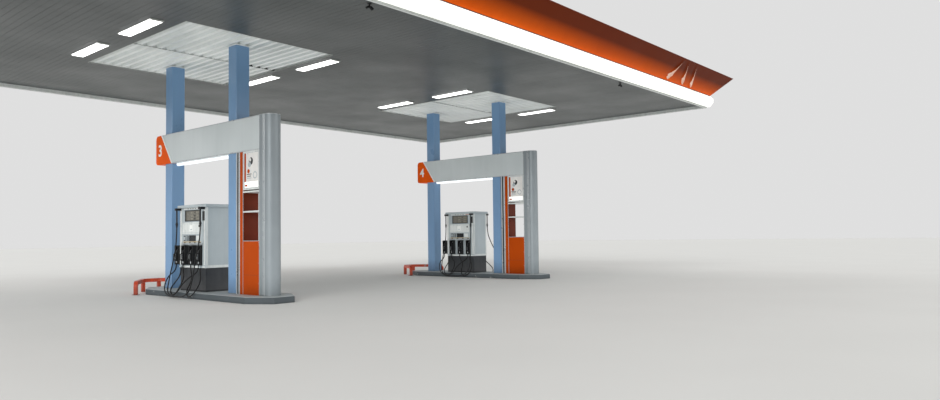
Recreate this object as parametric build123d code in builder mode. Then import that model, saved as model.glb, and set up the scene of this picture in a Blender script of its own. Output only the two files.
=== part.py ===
"""Filling station canopy: a flat roof on four box columns over two kerbed islands."""

from build123d import *
from math import cos, hypot, radians, sin, tan
import os

os.makedirs("parts", exist_ok=True)

# Plan, from the middle of the roof: X along the long side, Y away from the lit front, Z up
half_x = 10570.0
half_y = 6762.5
island_x = 5025.0
island_y = -50.0
column_reach = 1575.0
column_side = 350.0
column_face = column_reach + column_side / 2
column_bevel = 9.0

# Levels of the roof
lip_z = 5940.0
lip_h = 100.0
lining_t = 20.0
rib_h = 85.0
sheet_t = 4.0
beam_h = 330.0
soffit_z = lip_z + lip_h
deck_z = soffit_z + lining_t
beam_z = deck_z + rib_h
roof_z = beam_z + beam_h

# Roof structure
edge_t = 60.0
inner_x = half_x - edge_t
inner_y = half_y - edge_t
flange_w = 180.0
flange_t = 14.0
web_t = 9.0
cross_w = 80.0
cross_h = 200.0
cross_t = 8.0
cross_y = (-4200.0, 0.0, 4200.0)
rib_count = 89
rib_crest = 60.0
rib_slope = 43.0
roof_rib_count = 40
roof_rib_h = 50.0
roof_rib_crest = 180.0
roof_rib_slope = 60.0

# Ceiling
opening_shift = 45.0
opening_x = 1925.0
opening_y0 = -(column_reach + 1065.0)
opening_y1 = column_reach + 885.0
light_shift = -190.0
light_x = 2350.0
light_y = 1330.0
light_w = 300.0
light_l = 1620.0
light_h = 30.0
spot_y = 340.0
spot_discs = ((45.0, 12.0), (11.0, 60.0))
spot_head = (84.0, 46.0, 40.0)
spot_head_x = 46.0
spot_head_drop = 76.0
spot_tilt = 32.0

# Roof edge, outwards from the edge beam
seam = 1.5
strip_z = lip_z + 30.0
strip_h = 390.0
strip_out = 200.0
strip_gap = 34.0
strip_back_z = soffit_z + 30.0
strip_radii = [60.0, 70.0, 50.0, 30.0]
flare_z = strip_z + strip_h + 20.0
flare_h = 608.0
flare_in = 125.0
flare_out = 729.0
panel_t = 30.0
lip_back = 25.0
cap_h = 18.0
cap_over = 10.0
cap_w = 70.0
bracket_t = 12.0
bracket_run = 500.0
bracket_w = 60.0
bracket_margin = 400.0
bracket_pitch = 1500.0

# Kerbed island, with Y counted from the middle between its two columns
kerb_w = 1242.0
kerb_h = 148.0
kerb_end_w = 536.0
kerb_bevel = 14.0
kerb_side_y0 = -(column_reach + 1252.0)
kerb_side_y1 = column_reach + 335.0
kerb_slope = 603.0

# Portal over each island
portal_w = 406.0
header_z = 3458.0
header_h = 785.0
slant_low = column_reach - 205.0
slant_high = column_reach + 360.0
header_end_y = column_face + 471.0
end_skin = 6.0
end_radii = [90.0, 110.0]
trim_gap = 42.0
trim_a = 46.0
trim_reveal = 56.0
trim_b = 65.0
trim_inset = 30.0
jamb_w = 128.0
niche_l = 669.0
shell_l = 178.0
niche_z = 1386.0
shelf_z = (2040.0, 2500.0)
shelf_t = 30.0
shelf_play = 10.0
box_z = 2559.0
box_rim = 36.0
box_recess = 14.0
tube_w = 90.0
tube_h = 60.0
trim_y = -(column_face + trim_gap)
frame_y = trim_y - trim_a - trim_reveal - trim_b
jamb_y = frame_y - jamb_w
shell_y = jamb_y - niche_l
nose_r = portal_w / 2
nose_y = shell_y - shell_l - nose_r
niche_mid = island_y + (shell_y + jamb_y) / 2
header_top = header_z + header_h

# Dispenser
pump_w = 700.0
pump_l = 1270.0
pump_y = -30.0
pump_base_z = 730.0
pump_z = 2225.0
pump_bevel = 10.0
plinth_in = 15.0
hood_h = 70.0
hood_over = 55.0
hood_bevel = 28.0
hood_top_bevel = 14.0
display = (732.0, 280.0, 2025.0, 18.0)
reader = (290.0, 115.0, 1462.0, 12.0)
bay_z = (780.0, 1300.0)
bay_d = 60.0
bay_clear = 8.0
boot_pitch = 387.0
boot_w = 184.0
boot_z = (800.0, 1285.0)
boot_d = 105.0
boot_t = 20.0
arm_y = 585.0
arm_w = 70.0
arm_h = 60.0
arm_out = 150.0
pipe_d = 110.0
pipe_r = 18.0
pipe_z = 1870.0
gland_z = 735.0
gland_w = 50.0
gland_h = 40.0
gland_near = 75.0
gland_far = 105.0
outlet_d = 45.0
hose_r = 15.0
hose_d = 45.0
hose_end_z = 840.0
swivel_h = 40.0
swivel_r = 18.0
nozzle_t = 44.0
spout_t = 28.0

# Guard rail round the far end of each island
rail_w = 96.0
rail_top = 360.0
rail_side = 224.0
rail_end = 417.0
rail_tuck = 48.0
rail_past = 70.0
rail_post = 0.86 * rail_w
rail_radii = [110.0, 90.0, 90.0, 110.0]

sides = [(0, half_x, half_y), (90, half_y, half_x), (180, half_x, half_y), (270, half_y, half_x)]
islands = [("left", -island_x), ("right", island_x)]
near, low, high = (pump_y + boot_pitch * i for i in (-1, 0, 1))
far = pump_y + (pump_l + boot_w) / 2
glands = (near - gland_near, high + gland_far)


def save(built, node):
    """Label a finished piece and write its STEP file."""
    built.part.label = node
    export_step(built.part, f"parts/{node}.step")
    print(node, len(built.part.solids()), round(built.part.volume / 1e9, 4), built.part.is_valid)


def side_plane(angle, offset):
    """Plane across one side of the roof: local x runs outwards, local y up."""
    out = (sin(radians(angle)), -cos(radians(angle)))
    return Plane(origin=(out[0] * offset, out[1] * offset, 0), x_dir=(out[0], out[1], 0),
                 z_dir=(out[1], -out[0], 0))


def roof_side(points, angle, half_len, offset, radii=()):
    """One length of a section that runs round the roof edge, mitred at both ends.

    The radii round the corners that follow the first point.
    """
    along = Vector(cos(radians(angle)), sin(radians(angle)), 0)
    out = Vector(sin(radians(angle)), -cos(radians(angle)), 0)
    with BuildPart() as length:
        with BuildSketch(side_plane(angle, offset)):
            with BuildLine():
                if radii:
                    outer = FilletPolyline(*points[:len(radii) + 2], radius=radii)
                    Polyline(outer @ 1, *points[len(radii) + 2:], outer @ 0)
                else:
                    Polyline(*points, close=True)
            make_face()
        extrude(amount=half_len + 2 * flare_out, both=True)
        for way in (1, -1):
            normal = (along * way - out).normalized()
            corner = out * offset + along * (way * half_len) - normal * seam
            split(bisect_by=Plane(origin=corner, z_dir=normal), keep=Keep.BOTTOM)
    return length.part


def trapezoids(width, count, height, crest, slope):
    """Outline of a trapezoidal sheet seen along its ribs, low flange on the x axis."""
    pitch = width / count
    lower, upper = [], []
    for i in range(count):
        middle = pitch * (i + 0.5) - width / 2
        lower += [(middle - crest / 2 - slope, 0), (middle - crest / 2, height - sheet_t),
                  (middle + crest / 2, height - sheet_t), (middle + crest / 2 + slope, 0)]
        half = crest / 2 + sheet_t / 2
        upper += [(middle - half - slope, sheet_t), (middle - half, height),
                  (middle + half, height), (middle + half + slope, sheet_t)]
    return [(-width / 2, 0), *lower, (width / 2, 0),
            (width / 2, sheet_t), *upper[::-1], (-width / 2, sheet_t)]


def face_plane(cx, way, depth=0.0):
    """Plane on a dispenser's lane face: local x is way times Y, local y up, normal to the lane."""
    return Plane(origin=(cx + way * (pump_w / 2 + depth), island_y, 0), x_dir=(0, way, 0), z_dir=(way, 0, 0))


def at_face(cx, way, point):
    """Row coordinates of a point given as its distance from the lane face, its Y and its Z."""
    return (cx + way * (pump_w / 2 + point[0]), island_y + point[1], point[2])


def tube(points, radius, name):
    """A hose of straight runs and tangent arcs, each arc as large as its two runs allow."""
    places = [Vector(*p) for p in points]
    runs = [(b - a) for a, b in zip(places, places[1:])]
    radii = []
    for before, after in zip(runs, runs[1:]):
        turn = radians(before.get_angle(after))
        radii.append(0.45 * min(before.length, after.length) / tan(turn / 2))
    with BuildPart() as hose:
        with BuildLine() as line:
            FilletPolyline(*points, radius=radii)
        with BuildSketch(Plane(origin=places[0], z_dir=runs[0])):
            RegularPolygon(radius, 4)
        sweep(path=line.wires()[0])
    area = 2 * radius ** 2
    length = line.wires()[0].length
    print(name, "length", round(length), "least radius", round(min(radii)), "runs",
          [round(r.length) for r in runs], "volume share", round(hose.part.volume / area / length, 4))
    return hose


# Structure of the roof
with BuildPart() as edge_beam:
    with BuildSketch(Plane.XY.offset(lip_z)):
        Rectangle(2 * half_x, 2 * half_y)
        Rectangle(2 * inner_x, 2 * inner_y, mode=Mode.SUBTRACT)
    extrude(amount=roof_z - lip_z)
save(edge_beam, "edge_beam")

with BuildPart() as main_beams:
    with BuildSketch(Plane.XZ):
        with Locations((-island_x, beam_z + beam_h / 2), (island_x, beam_z + beam_h / 2)):
            Rectangle(flange_w, beam_h)
            with Locations((-(flange_w + web_t) / 4, 0), ((flange_w + web_t) / 4, 0)):
                Rectangle((flange_w - web_t) / 2, beam_h - 2 * flange_t, mode=Mode.SUBTRACT)
    extrude(amount=inner_y, both=True)
save(main_beams, "main_beams")

bay_ends = (-inner_x, -island_x - flange_w / 2, -island_x + flange_w / 2,
            island_x - flange_w / 2, island_x + flange_w / 2, inner_x)
with BuildPart() as cross_beams:
    for y in cross_y:
        for x0, x1 in zip(bay_ends[::2], bay_ends[1::2]):
            with BuildSketch(Plane.YZ.offset(x0)):
                with Locations((y, beam_z + cross_h / 2)):
                    Rectangle(cross_w, cross_h)
                    with Locations((cross_t, 0)):
                        Rectangle(cross_w, cross_h - 2 * cross_t, mode=Mode.SUBTRACT)
            extrude(amount=x1 - x0)
save(cross_beams, "cross_beams")

# Sheets and ceiling
with BuildPart() as ceiling_deck:
    with BuildSketch(Plane.XZ.offset(-inner_y)):
        with BuildLine():
            sheet = trapezoids(2 * inner_x, rib_count, rib_h, rib_crest, rib_slope)
            Polyline(*[(x, deck_z + z) for x, z in sheet], close=True)
        make_face()
    extrude(amount=2 * inner_y)
    with BuildSketch(Plane.XY.offset(deck_z)):
        with Locations((0, island_y)):
            with GridLocations(2 * island_x, 2 * column_reach, 2, 2):
                Rectangle(column_side, column_side)
    extrude(amount=rib_h, mode=Mode.SUBTRACT)
save(ceiling_deck, "ceiling_deck")

with BuildPart() as roof_deck:
    with BuildSketch(Plane.XZ.offset(-half_y)):
        with BuildLine():
            sheet = trapezoids(2 * half_x, roof_rib_count, roof_rib_h, roof_rib_crest, roof_rib_slope)
            Polyline(*[(x, roof_z + z) for x, z in sheet], close=True)
        make_face()
    extrude(amount=2 * half_y)
save(roof_deck, "roof_deck")

with BuildPart() as soffit_lining:
    with BuildSketch(Plane.XY.offset(soffit_z)):
        Rectangle(2 * inner_x, 2 * inner_y)
        middle = island_y + (opening_y0 + opening_y1) / 2
        with Locations((opening_shift - island_x, middle), (opening_shift + island_x, middle)):
            Rectangle(2 * opening_x, opening_y1 - opening_y0, mode=Mode.SUBTRACT)
    extrude(amount=lining_t)
save(soffit_lining, "soffit_lining")

with BuildPart() as ceiling_lights:
    with BuildSketch(Plane.XY.offset(soffit_z - light_h)):
        with Locations((-island_x, island_y + light_shift), (island_x, island_y + light_shift)):
            with GridLocations(2 * light_x, 2 * light_y, 2, 2):
                Rectangle(light_w, light_l)
    extrude(amount=light_h)
    chamfer(ceiling_lights.faces().filter_by(Axis.Z).group_by(Axis.Z)[0].edges(), 0.4 * light_h)
save(ceiling_lights, "ceiling_lights")

with BuildPart() as front_spots:
    for _, cx in islands:
        for radius, drop in spot_discs:
            with BuildSketch(Plane.XY.offset(soffit_z)):
                with Locations((cx, spot_y - inner_y)):
                    RegularPolygon(radius, 12)
            extrude(amount=-drop)
        with Locations((cx, spot_y - inner_y, soffit_z)):
            for way in (-1, 1):
                with Locations(Location((way * spot_head_x, 0, -spot_head_drop), (0, way * spot_tilt, 0))):
                    Box(*spot_head)
save(front_spots, "front_spots")

# Light strip and flared fascia round the edge
strip_top = strip_z + strip_h
strip_section = [(strip_gap, strip_z), (0.55 * strip_out, strip_z), (strip_out, strip_z + 0.43 * strip_h),
                 (strip_out, strip_z + 0.76 * strip_h), (0.6 * strip_out, strip_top), (0, strip_top),
                 (0, strip_back_z), (strip_gap, strip_back_z)]
with BuildPart() as light_strips:
    for angle, half_len, offset in sides:
        add(roof_side(strip_section, angle, half_len, offset, strip_radii))
save(light_strips, "light_strips")

flare_top = flare_z + flare_h
lean = (flare_out - flare_in) / flare_h
panel_run = panel_t * hypot(lean, 1)
back_low = flare_in - panel_run + lean * lip_back
flare_section = [(0, flare_z), (flare_in, flare_z), (flare_out, flare_top),
                 (flare_out - panel_run, flare_top), (back_low, flare_z + lip_back), (0, flare_z + lip_back)]
with BuildPart() as fascia_panels:
    for angle, half_len, offset in sides:
        add(roof_side(flare_section, angle, half_len, offset))
save(fascia_panels, "fascia_panels")

with BuildPart() as fascia_cap:
    with BuildSketch(Plane.XY.offset(flare_top)):
        Rectangle(2 * (half_x + flare_out + cap_over), 2 * (half_y + flare_out + cap_over))
        Rectangle(2 * (half_x + flare_out + cap_over - cap_w), 2 * (half_y + flare_out + cap_over - cap_w),
                  mode=Mode.SUBTRACT)
    extrude(amount=cap_h)
save(fascia_cap, "fascia_cap")

bracket_top = (back_low + bracket_run, flare_z + lip_back + bracket_run / lean)
with BuildPart() as fascia_brackets:
    for angle, half_len, offset in sides:
        count = max(2, round(half_len / bracket_pitch))
        pitch = 2 * (half_len - bracket_margin) / (count - 1)
        for i in range(count):
            with BuildSketch(side_plane(angle, offset).offset((i - (count - 1) / 2) * pitch)):
                with BuildLine():
                    Polyline((0, flare_z + lip_back), (back_low, flare_z + lip_back), bracket_top,
                             (bracket_top[0] - bracket_w, bracket_top[1]), (0, roof_z), close=True)
                make_face()
            extrude(amount=bracket_t / 2, both=True)
save(fascia_brackets, "fascia_brackets")

# Columns and kerbed islands
with BuildPart() as columns:
    with BuildSketch(Plane.XY.offset(kerb_h)):
        with Locations((0, island_y)):
            with GridLocations(2 * island_x, 2 * column_reach, 2, 2):
                Rectangle(column_side, column_side)
    extrude(amount=beam_z - kerb_h)
    chamfer(columns.edges().filter_by(Axis.Z), column_bevel)
save(columns, "columns")

kerb_y0 = kerb_side_y0 - kerb_slope
kerb_y1 = kerb_side_y1 + kerb_slope
kerb_plan = [(-kerb_w / 2, kerb_side_y0), (-kerb_end_w / 2, kerb_y0), (kerb_end_w / 2, kerb_y0),
             (kerb_w / 2, kerb_side_y0), (kerb_w / 2, kerb_side_y1), (kerb_end_w / 2, kerb_y1),
             (-kerb_end_w / 2, kerb_y1), (-kerb_w / 2, kerb_side_y1)]
with BuildPart() as kerbs:
    for _, cx in islands:
        with BuildSketch():
            with BuildLine():
                Polyline(*[(cx + x, island_y + y) for x, y in kerb_plan], close=True)
            make_face()
    extrude(amount=kerb_h)
    chamfer(kerbs.faces().filter_by(Axis.Z).group_by(Axis.Z)[-1].edges(), kerb_bevel)
save(kerbs, "kerbs")

# Portals
with BuildPart() as headers:
    for _, cx in islands:
        with BuildSketch(Plane.YZ.offset(cx)):
            with BuildLine():
                Polyline((island_y + shell_y, header_z), (island_y + slant_low, header_z),
                         (island_y + slant_high, header_top), (island_y + shell_y, header_top), close=True)
            make_face()
        extrude(amount=portal_w / 2, both=True)
    with BuildSketch(Plane.XY.offset(header_z)):
        with Locations((0, island_y)):
            with GridLocations(2 * island_x, 2 * column_reach, 2, 2):
                Rectangle(column_side, column_side)
    extrude(amount=header_h, mode=Mode.SUBTRACT)
save(headers, "headers")

with BuildPart() as header_ends:
    for _, cx in islands:
        with BuildSketch(Plane.YZ.offset(cx)):
            with BuildLine():
                end = FilletPolyline((island_y + slant_low + seam, header_z),
                                     (island_y + header_end_y, header_z), (island_y + header_end_y, header_top),
                                     (island_y + slant_high + seam, header_top), radius=end_radii)
                Line(end @ 1, end @ 0)
            make_face()
        extrude(amount=portal_w / 2 + end_skin, both=True)
    with BuildSketch(Plane.XY.offset(header_z)):
        with Locations((-island_x, island_y + column_reach), (island_x, island_y + column_reach)):
            Rectangle(column_side, column_side)
    extrude(amount=header_h, mode=Mode.SUBTRACT)
save(header_ends, "header_ends")

with BuildPart() as header_tubes:
    for _, cx in islands:
        with Locations((cx, island_y, header_z)):
            Box(tube_w, 2 * column_reach - column_side, tube_h,
                align=(Align.CENTER, Align.CENTER, Align.MAX))
    tube_foot = header_tubes.faces().filter_by(Axis.Z).group_by(Axis.Z)[0]
    chamfer(tube_foot.edges().filter_by(Axis.Y), 0.3 * tube_w)
save(header_tubes, "header_tubes")

with BuildPart() as pylon_noses:
    for _, cx in islands:
        with BuildSketch(Plane.XY.offset(kerb_h)):
            with BuildLine():
                back = island_y + shell_y
                turn = island_y + nose_y + nose_r
                Polyline((cx - nose_r, turn), (cx - nose_r, back), (cx + nose_r, back), (cx + nose_r, turn))
                ThreePointArc((cx + nose_r, turn), (cx, turn - nose_r), (cx - nose_r, turn))
            make_face()
        extrude(amount=header_top - kerb_h)
save(pylon_noses, "pylon_noses")

with BuildPart() as pylon_frames:
    for _, cx in islands:
        with BuildSketch(Plane.YZ.offset(cx)):
            with BuildLine():
                Polyline((island_y + shell_y, kerb_h), (island_y + frame_y, kerb_h),
                         (island_y + frame_y, header_z), (island_y + jamb_y, header_z),
                         (island_y + jamb_y, niche_z), (island_y + shell_y, niche_z), close=True)
            make_face()
        extrude(amount=portal_w / 2, both=True)
save(pylon_frames, "pylon_frames")

with BuildPart() as pylon_trims:
    for _, cx in islands:
        with BuildSketch(Plane.XY.offset(kerb_h)):
            start = trim_y
            for width, inset in ((trim_a, 0), (trim_reveal, trim_inset), (trim_b, 0)):
                with Locations((cx, island_y + start - width / 2)):
                    Rectangle(portal_w - 2 * inset, width)
                start -= width
        extrude(amount=header_z - kerb_h)
save(pylon_trims, "pylon_trims")

with BuildPart() as light_boxes:
    for _, cx in islands:
        with Locations((cx, niche_mid, box_z)):
            Box(portal_w, niche_l, header_z - box_z, align=(Align.CENTER, Align.CENTER, Align.MIN))
        for way in (-1, 1):
            with BuildSketch(Plane(origin=(cx + way * portal_w / 2, niche_mid, (box_z + header_z) / 2),
                                   x_dir=(0, way, 0), z_dir=(way, 0, 0))):
                Rectangle(niche_l - 2 * box_rim, header_z - box_z - 2 * box_rim)
            extrude(amount=-box_recess, mode=Mode.SUBTRACT)
save(light_boxes, "light_boxes")

with BuildPart() as niche_shelves:
    for _, cx in islands:
        for z in shelf_z:
            with Locations((cx, niche_mid, z)):
                Box(portal_w - shelf_play, niche_l, shelf_t, align=(Align.CENTER, Align.CENTER, Align.MIN))
save(niche_shelves, "niche_shelves")

# Guard rails
with BuildPart() as guard_rails:
    for _, cx in islands:
        leg = (kerb_w / 2 + rail_side, island_y + kerb_side_y1 + rail_past)
        corner = (kerb_end_w / 2 - rail_tuck, island_y + kerb_y1 + rail_end)
        level = rail_top - rail_w / 2
        with BuildLine() as run:
            FilletPolyline((cx - leg[0], leg[1], 0), (cx - leg[0], leg[1], level),
                           (cx - corner[0], corner[1], level), (cx + corner[0], corner[1], level),
                           (cx + leg[0], leg[1], level), (cx + leg[0], leg[1], 0), radius=rail_radii)
        with BuildSketch(Plane(origin=(cx - leg[0], leg[1], 0), z_dir=(0, 0, 1),
                               x_dir=(leg[0] - corner[0], corner[1] - leg[1], 0))):
            Rectangle(rail_w, rail_w)
        sweep(path=run.wires()[0])
        with BuildSketch():
            with Locations((cx - corner[0], corner[1]), (cx + corner[0], corner[1])):
                Rectangle(rail_post, rail_post)
        extrude(amount=level)
save(guard_rails, "guard_rails")

# Dispensers
with BuildPart() as dispenser_bases:
    with Locations(*[(cx, island_y + pump_y, kerb_h) for _, cx in islands]):
        Box(pump_w - 2 * plinth_in, pump_l - 2 * plinth_in, pump_base_z - kerb_h,
            align=(Align.CENTER, Align.CENTER, Align.MIN))
save(dispenser_bases, "dispenser_bases")

with BuildPart() as dispensers:
    with Locations(*[(cx, island_y + pump_y, pump_base_z) for _, cx in islands]):
        Box(pump_w, pump_l, pump_z - pump_base_z, align=(Align.CENTER, Align.CENTER, Align.MIN))
    chamfer(dispensers.edges().filter_by(Axis.Z), pump_bevel)
    for _, cx in islands:
        for way in (-1, 1):
            bay = (2 * boot_pitch + boot_w + 2 * bay_clear, bay_z[1] - bay_z[0], sum(bay_z) / 2, bay_d)
            for width, height, z, depth in (display, reader, bay):
                with BuildSketch(face_plane(cx, way)):
                    with Locations((way * pump_y, z)):
                        Rectangle(width, height)
                extrude(amount=-depth, mode=Mode.SUBTRACT)
            with BuildSketch(face_plane(cx, way)):
                with Locations(*[(way * y, gland_z + gland_h / 2) for y in glands]):
                    Rectangle(gland_w, gland_h)
            extrude(amount=outlet_d + gland_w / 2)
save(dispensers, "dispensers")

with BuildPart() as dispenser_hoods:
    with Locations(*[(cx, island_y + pump_y, pump_z) for _, cx in islands]):
        Box(pump_w + 2 * hood_over, pump_l + 2 * hood_over, hood_h,
            align=(Align.CENTER, Align.CENTER, Align.MIN))
    chamfer(dispenser_hoods.edges().filter_by(Axis.Z), hood_bevel)
    chamfer(dispenser_hoods.faces().filter_by(Axis.Z).group_by(Axis.Z)[-1].edges(), hood_top_bevel)
save(dispenser_hoods, "dispenser_hoods")

with BuildPart() as hose_arms:
    for _, cx in islands:
        for way in (-1, 1):
            for y in (pump_y - arm_y, pump_y + arm_y):
                with BuildSketch(face_plane(cx, way)):
                    with Locations((way * y, pump_z - arm_h / 2)):
                        Rectangle(arm_w, arm_h)
                extrude(amount=arm_out)
                with BuildSketch(Plane.XY.offset(pipe_z)):
                    with Locations((cx + way * (pump_w / 2 + pipe_d), island_y + y)):
                        RegularPolygon(pipe_r, 12)
                extrude(amount=pump_z - arm_h - pipe_z)
save(hose_arms, "hose_arms")

with BuildPart() as nozzle_boots:
    for _, cx in islands:
        for way in (-1, 1):
            for y in (near, low, high, far):
                with BuildSketch(face_plane(cx, way, -bay_d)):
                    with Locations((way * y, sum(boot_z) / 2)):
                        Rectangle(boot_w, boot_z[1] - boot_z[0])
                extrude(amount=boot_d)
                with BuildSketch(face_plane(cx, way, boot_t - bay_d)):
                    with Locations((way * y, (boot_z[0] + boot_z[1] - boot_t) / 2)):
                        Rectangle(boot_w - 2 * boot_t, boot_z[1] - boot_z[0] - boot_t)
                extrude(amount=boot_d - boot_t, mode=Mode.SUBTRACT)
save(nozzle_boots, "nozzle_boots")

nozzle_z = hose_end_z + swivel_h
nozzle_side = [(-18, 0), (18, 0), (76, 35), (82, 185), (20, 225), (2, 280), (-50, 320), (-66, 300),
               (-26, 250)]
nozzle_hand = [(28, 47), (58, 60), (63, 165), (30, 186)]
spout_tip = boot_t - bay_d - hose_d
spout_side = [(-50, 320), (spout_tip, 382), (spout_tip, 356), (-66, 300)]
with BuildPart() as nozzles:
    for _, cx in islands:
        for way in (-1, 1):
            for y in (near, low, high, far):
                plane = Plane(origin=at_face(cx, way, (hose_d, y, nozzle_z)), x_dir=(way, 0, 0),
                              z_dir=(0, -way, 0))
                with BuildSketch(plane):
                    with BuildLine():
                        Polyline(*nozzle_side, close=True)
                    make_face()
                    with BuildLine():
                        Polyline(*nozzle_hand, close=True)
                    make_face(mode=Mode.SUBTRACT)
                extrude(amount=nozzle_t / 2, both=True)
                with BuildSketch(plane):
                    with BuildLine():
                        Polyline(*spout_side, close=True)
                    make_face()
                extrude(amount=spout_t / 2, both=True)
                with BuildSketch(Plane(origin=at_face(cx, way, (hose_d, y, hose_end_z)))):
                    RegularPolygon(swivel_r, 8)
                extrude(amount=swivel_h)
save(nozzles, "nozzles")

# Hoses, as distance from the lane face, Y from the middle between the columns, and Z
routes = {
    1: [(pipe_d, pump_y + arm_y, pipe_z), (pipe_d, pump_y + arm_y, 1520), (135, 580, 1130), (195, 630, 760),
        (265, 640, 420), (360, 550, 140), (404, 290, 55), (380, 10, 120), (290, -100, 360), (160, -243, 529),
        (82, -361, 604), (hose_d, near, 715), (hose_d, near, hose_end_z)],
    2: [(outlet_d, glands[1], gland_z), (outlet_d, glands[1], 610), (80, 490, 480), (170, 530, 350),
        (285, 515, 215), (342, 385, 78), (345, 200, 58), (300, 85, 215), (190, 95, 400), (114, 169, 534),
        (68, 294, 604), (hose_d, high, 715), (hose_d, high, hose_end_z)],
    3: [(outlet_d, glands[0], gland_z), (outlet_d, glands[0], 610), (85, -570, 480), (175, -665, 350),
        (285, -685, 215), (342, -580, 80), (345, -400, 60), (295, -280, 205), (165, -268, 385),
        (100, -205, 525), (65, -93, 604), (hose_d, low, 715), (hose_d, low, hose_end_z)],
    4: [(pipe_d, pump_y - arm_y, pipe_z), (pipe_d, pump_y - arm_y, 1540), (220, -690, 1200),
        (350, -800, 850), (440, -870, 480), (468, -750, 170), (468, -420, 52), (468, -60, 48),
        (468, 290, 55), (430, 560, 170), (325, 715, 370), (190, 770, 540), (80, 735, 620),
        (hose_d, far, 730), (hose_d, far, hose_end_z)],
}
for side, cx in islands:
    for way, first in ((-1, 0), (1, 4)):
        for number, route in routes.items():
            name = f"hose_{side}_{first + number}"
            save(tube([at_face(cx, way, p) for p in route], hose_r, name), name)
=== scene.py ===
"""Filling station canopy: hoses, finishes and fittings dressed over the CAD frame.

Everything is in metres in the frame's own axes: X along the long side of the roof, Y away
from the lit front, Z up. A point on a dispenser is given as its distance out from the lane
face, its Y from the middle between the island's two columns, and its Z.
"""

import logging
import math
from dataclasses import dataclass
from enum import Enum

import bmesh
import bpy
from mathutils import Matrix, Vector, noise

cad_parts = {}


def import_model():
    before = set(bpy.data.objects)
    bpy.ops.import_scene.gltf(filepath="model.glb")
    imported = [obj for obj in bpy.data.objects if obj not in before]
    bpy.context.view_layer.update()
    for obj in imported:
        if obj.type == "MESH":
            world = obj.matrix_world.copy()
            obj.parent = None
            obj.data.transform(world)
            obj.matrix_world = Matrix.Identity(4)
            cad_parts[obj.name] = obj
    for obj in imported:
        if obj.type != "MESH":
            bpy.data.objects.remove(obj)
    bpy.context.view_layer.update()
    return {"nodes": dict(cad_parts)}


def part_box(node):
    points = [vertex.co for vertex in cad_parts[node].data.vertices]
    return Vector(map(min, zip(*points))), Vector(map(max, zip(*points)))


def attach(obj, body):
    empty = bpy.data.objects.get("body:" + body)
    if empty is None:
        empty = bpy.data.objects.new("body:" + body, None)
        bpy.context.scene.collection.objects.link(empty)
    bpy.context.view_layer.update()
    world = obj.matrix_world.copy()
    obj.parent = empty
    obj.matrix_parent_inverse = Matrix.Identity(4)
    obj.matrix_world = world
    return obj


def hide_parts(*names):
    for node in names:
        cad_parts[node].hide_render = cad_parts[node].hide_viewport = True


Point = tuple[float, float, float]
Span = tuple[float, float]
Outline = list[Span]
Material = bpy.types.Material
Tree = bpy.types.NodeTree
Socket = bpy.types.NodeSocket

log = logging.getLogger("canopy")

ISLAND_X = 5.025
ISLAND_Y = -0.05
COLUMN_REACH = 1.575
ISLANDS = {"left": -ISLAND_X, "right": ISLAND_X}
WAYS = (-1, 1)
ROOF_SIDES = (0, 90, 180, 270)
# Gap that keeps a fitting out of the plane of the face it lies on
CLEAR = 0.0005


def linear(text: str) -> tuple[float, float, float, float]:
    """Turn an sRGB hex colour into Blender's linear colour.

    Args:
        text: the colour as "#rrggbb".

    Returns:
        Red, green, blue and an alpha of 1.
    """
    values = [int(text[i:i + 2], 16) / 255 for i in (1, 3, 5)]
    return (*(v / 12.92 if v <= 0.04045 else ((v + 0.055) / 1.055) ** 2.4 for v in values), 1.0)


def add_node(tree: Tree, kind: str, inputs: dict | None = None, **settings) -> bpy.types.Node:
    """Add a node, set it and link what feeds it.

    Args:
        tree: the shader or geometry tree.
        kind: the node's type name.
        inputs: values or sockets by the input's name or number.
        settings: the node's own settings.

    Returns:
        The new node.
    """
    node = tree.nodes.new(kind)
    for name, value in settings.items():
        setattr(node, name, value)
    for key, value in (inputs or {}).items():
        if isinstance(value, Socket):
            tree.links.new(value, node.inputs[key])
        else:
            node.inputs[key].default_value = value
    return node


def blank_material(name: str) -> tuple[Material, Tree, Socket]:
    """Start a material that has nothing but its coordinates.

    Args:
        name: the material's name.

    Returns:
        The material, its tree and the socket of the Object coordinates.
    """
    material = bpy.data.materials.new(name)
    material.use_nodes = True
    tree = material.node_tree
    tree.nodes.clear()
    return material, tree, add_node(tree, "ShaderNodeTexCoord").outputs["Object"]


def blotches(place: Socket, size_mm: float, detail: float, rough: float = 0.55) -> dict:
    """Inputs of a noise whose blotches are about size_mm across."""
    return {"Vector": place, "Scale": 1000 / size_mm, "Detail": detail, "Roughness": rough}


def pattern(tree: Tree, place: Socket, size_mm: float, detail: float, span: tuple[float, ...]) -> Socket:
    """Strength of a blotchy pattern.

    Args:
        tree: the material's tree.
        place: the coordinates.
        size_mm: about how large the blotches are.
        detail: how many finer noises are added.
        span: noise where the pattern starts and ends, and its strength at both if not 0 and 1.

    Returns:
        The strength's socket.
    """
    cloud = add_node(tree, "ShaderNodeTexNoise", blotches(place, size_mm, detail)).outputs["Fac"]
    return add_node(tree, "ShaderNodeMapRange", {0: cloud, **dict(enumerate(span, 1))}, clamp=True).outputs[0]


def lane_place(cx: float, way: int, half: float) -> Matrix:
    """Matrix from (out, Y, Z) on a lane face to the frame.

    Args:
        cx: X of the island.
        way: -1 for the face towards -X, 1 for the other.
        half: half the width of the body that has the face.

    Returns:
        The matrix, which mirrors where the face looks towards -X.
    """
    return Matrix(((way, 0, 0, cx + way * half), (0, 1, 0, ISLAND_Y), (0, 0, 1, 0), (0, 0, 0, 1)))


def lane_faces(half: float) -> list[tuple[float, int, Matrix]]:
    """Island X, side and matrix of all four lane faces of bodies half as wide as this."""
    return [(cx, way, lane_place(cx, way, half)) for cx in ISLANDS.values() for way in WAYS]


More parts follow.
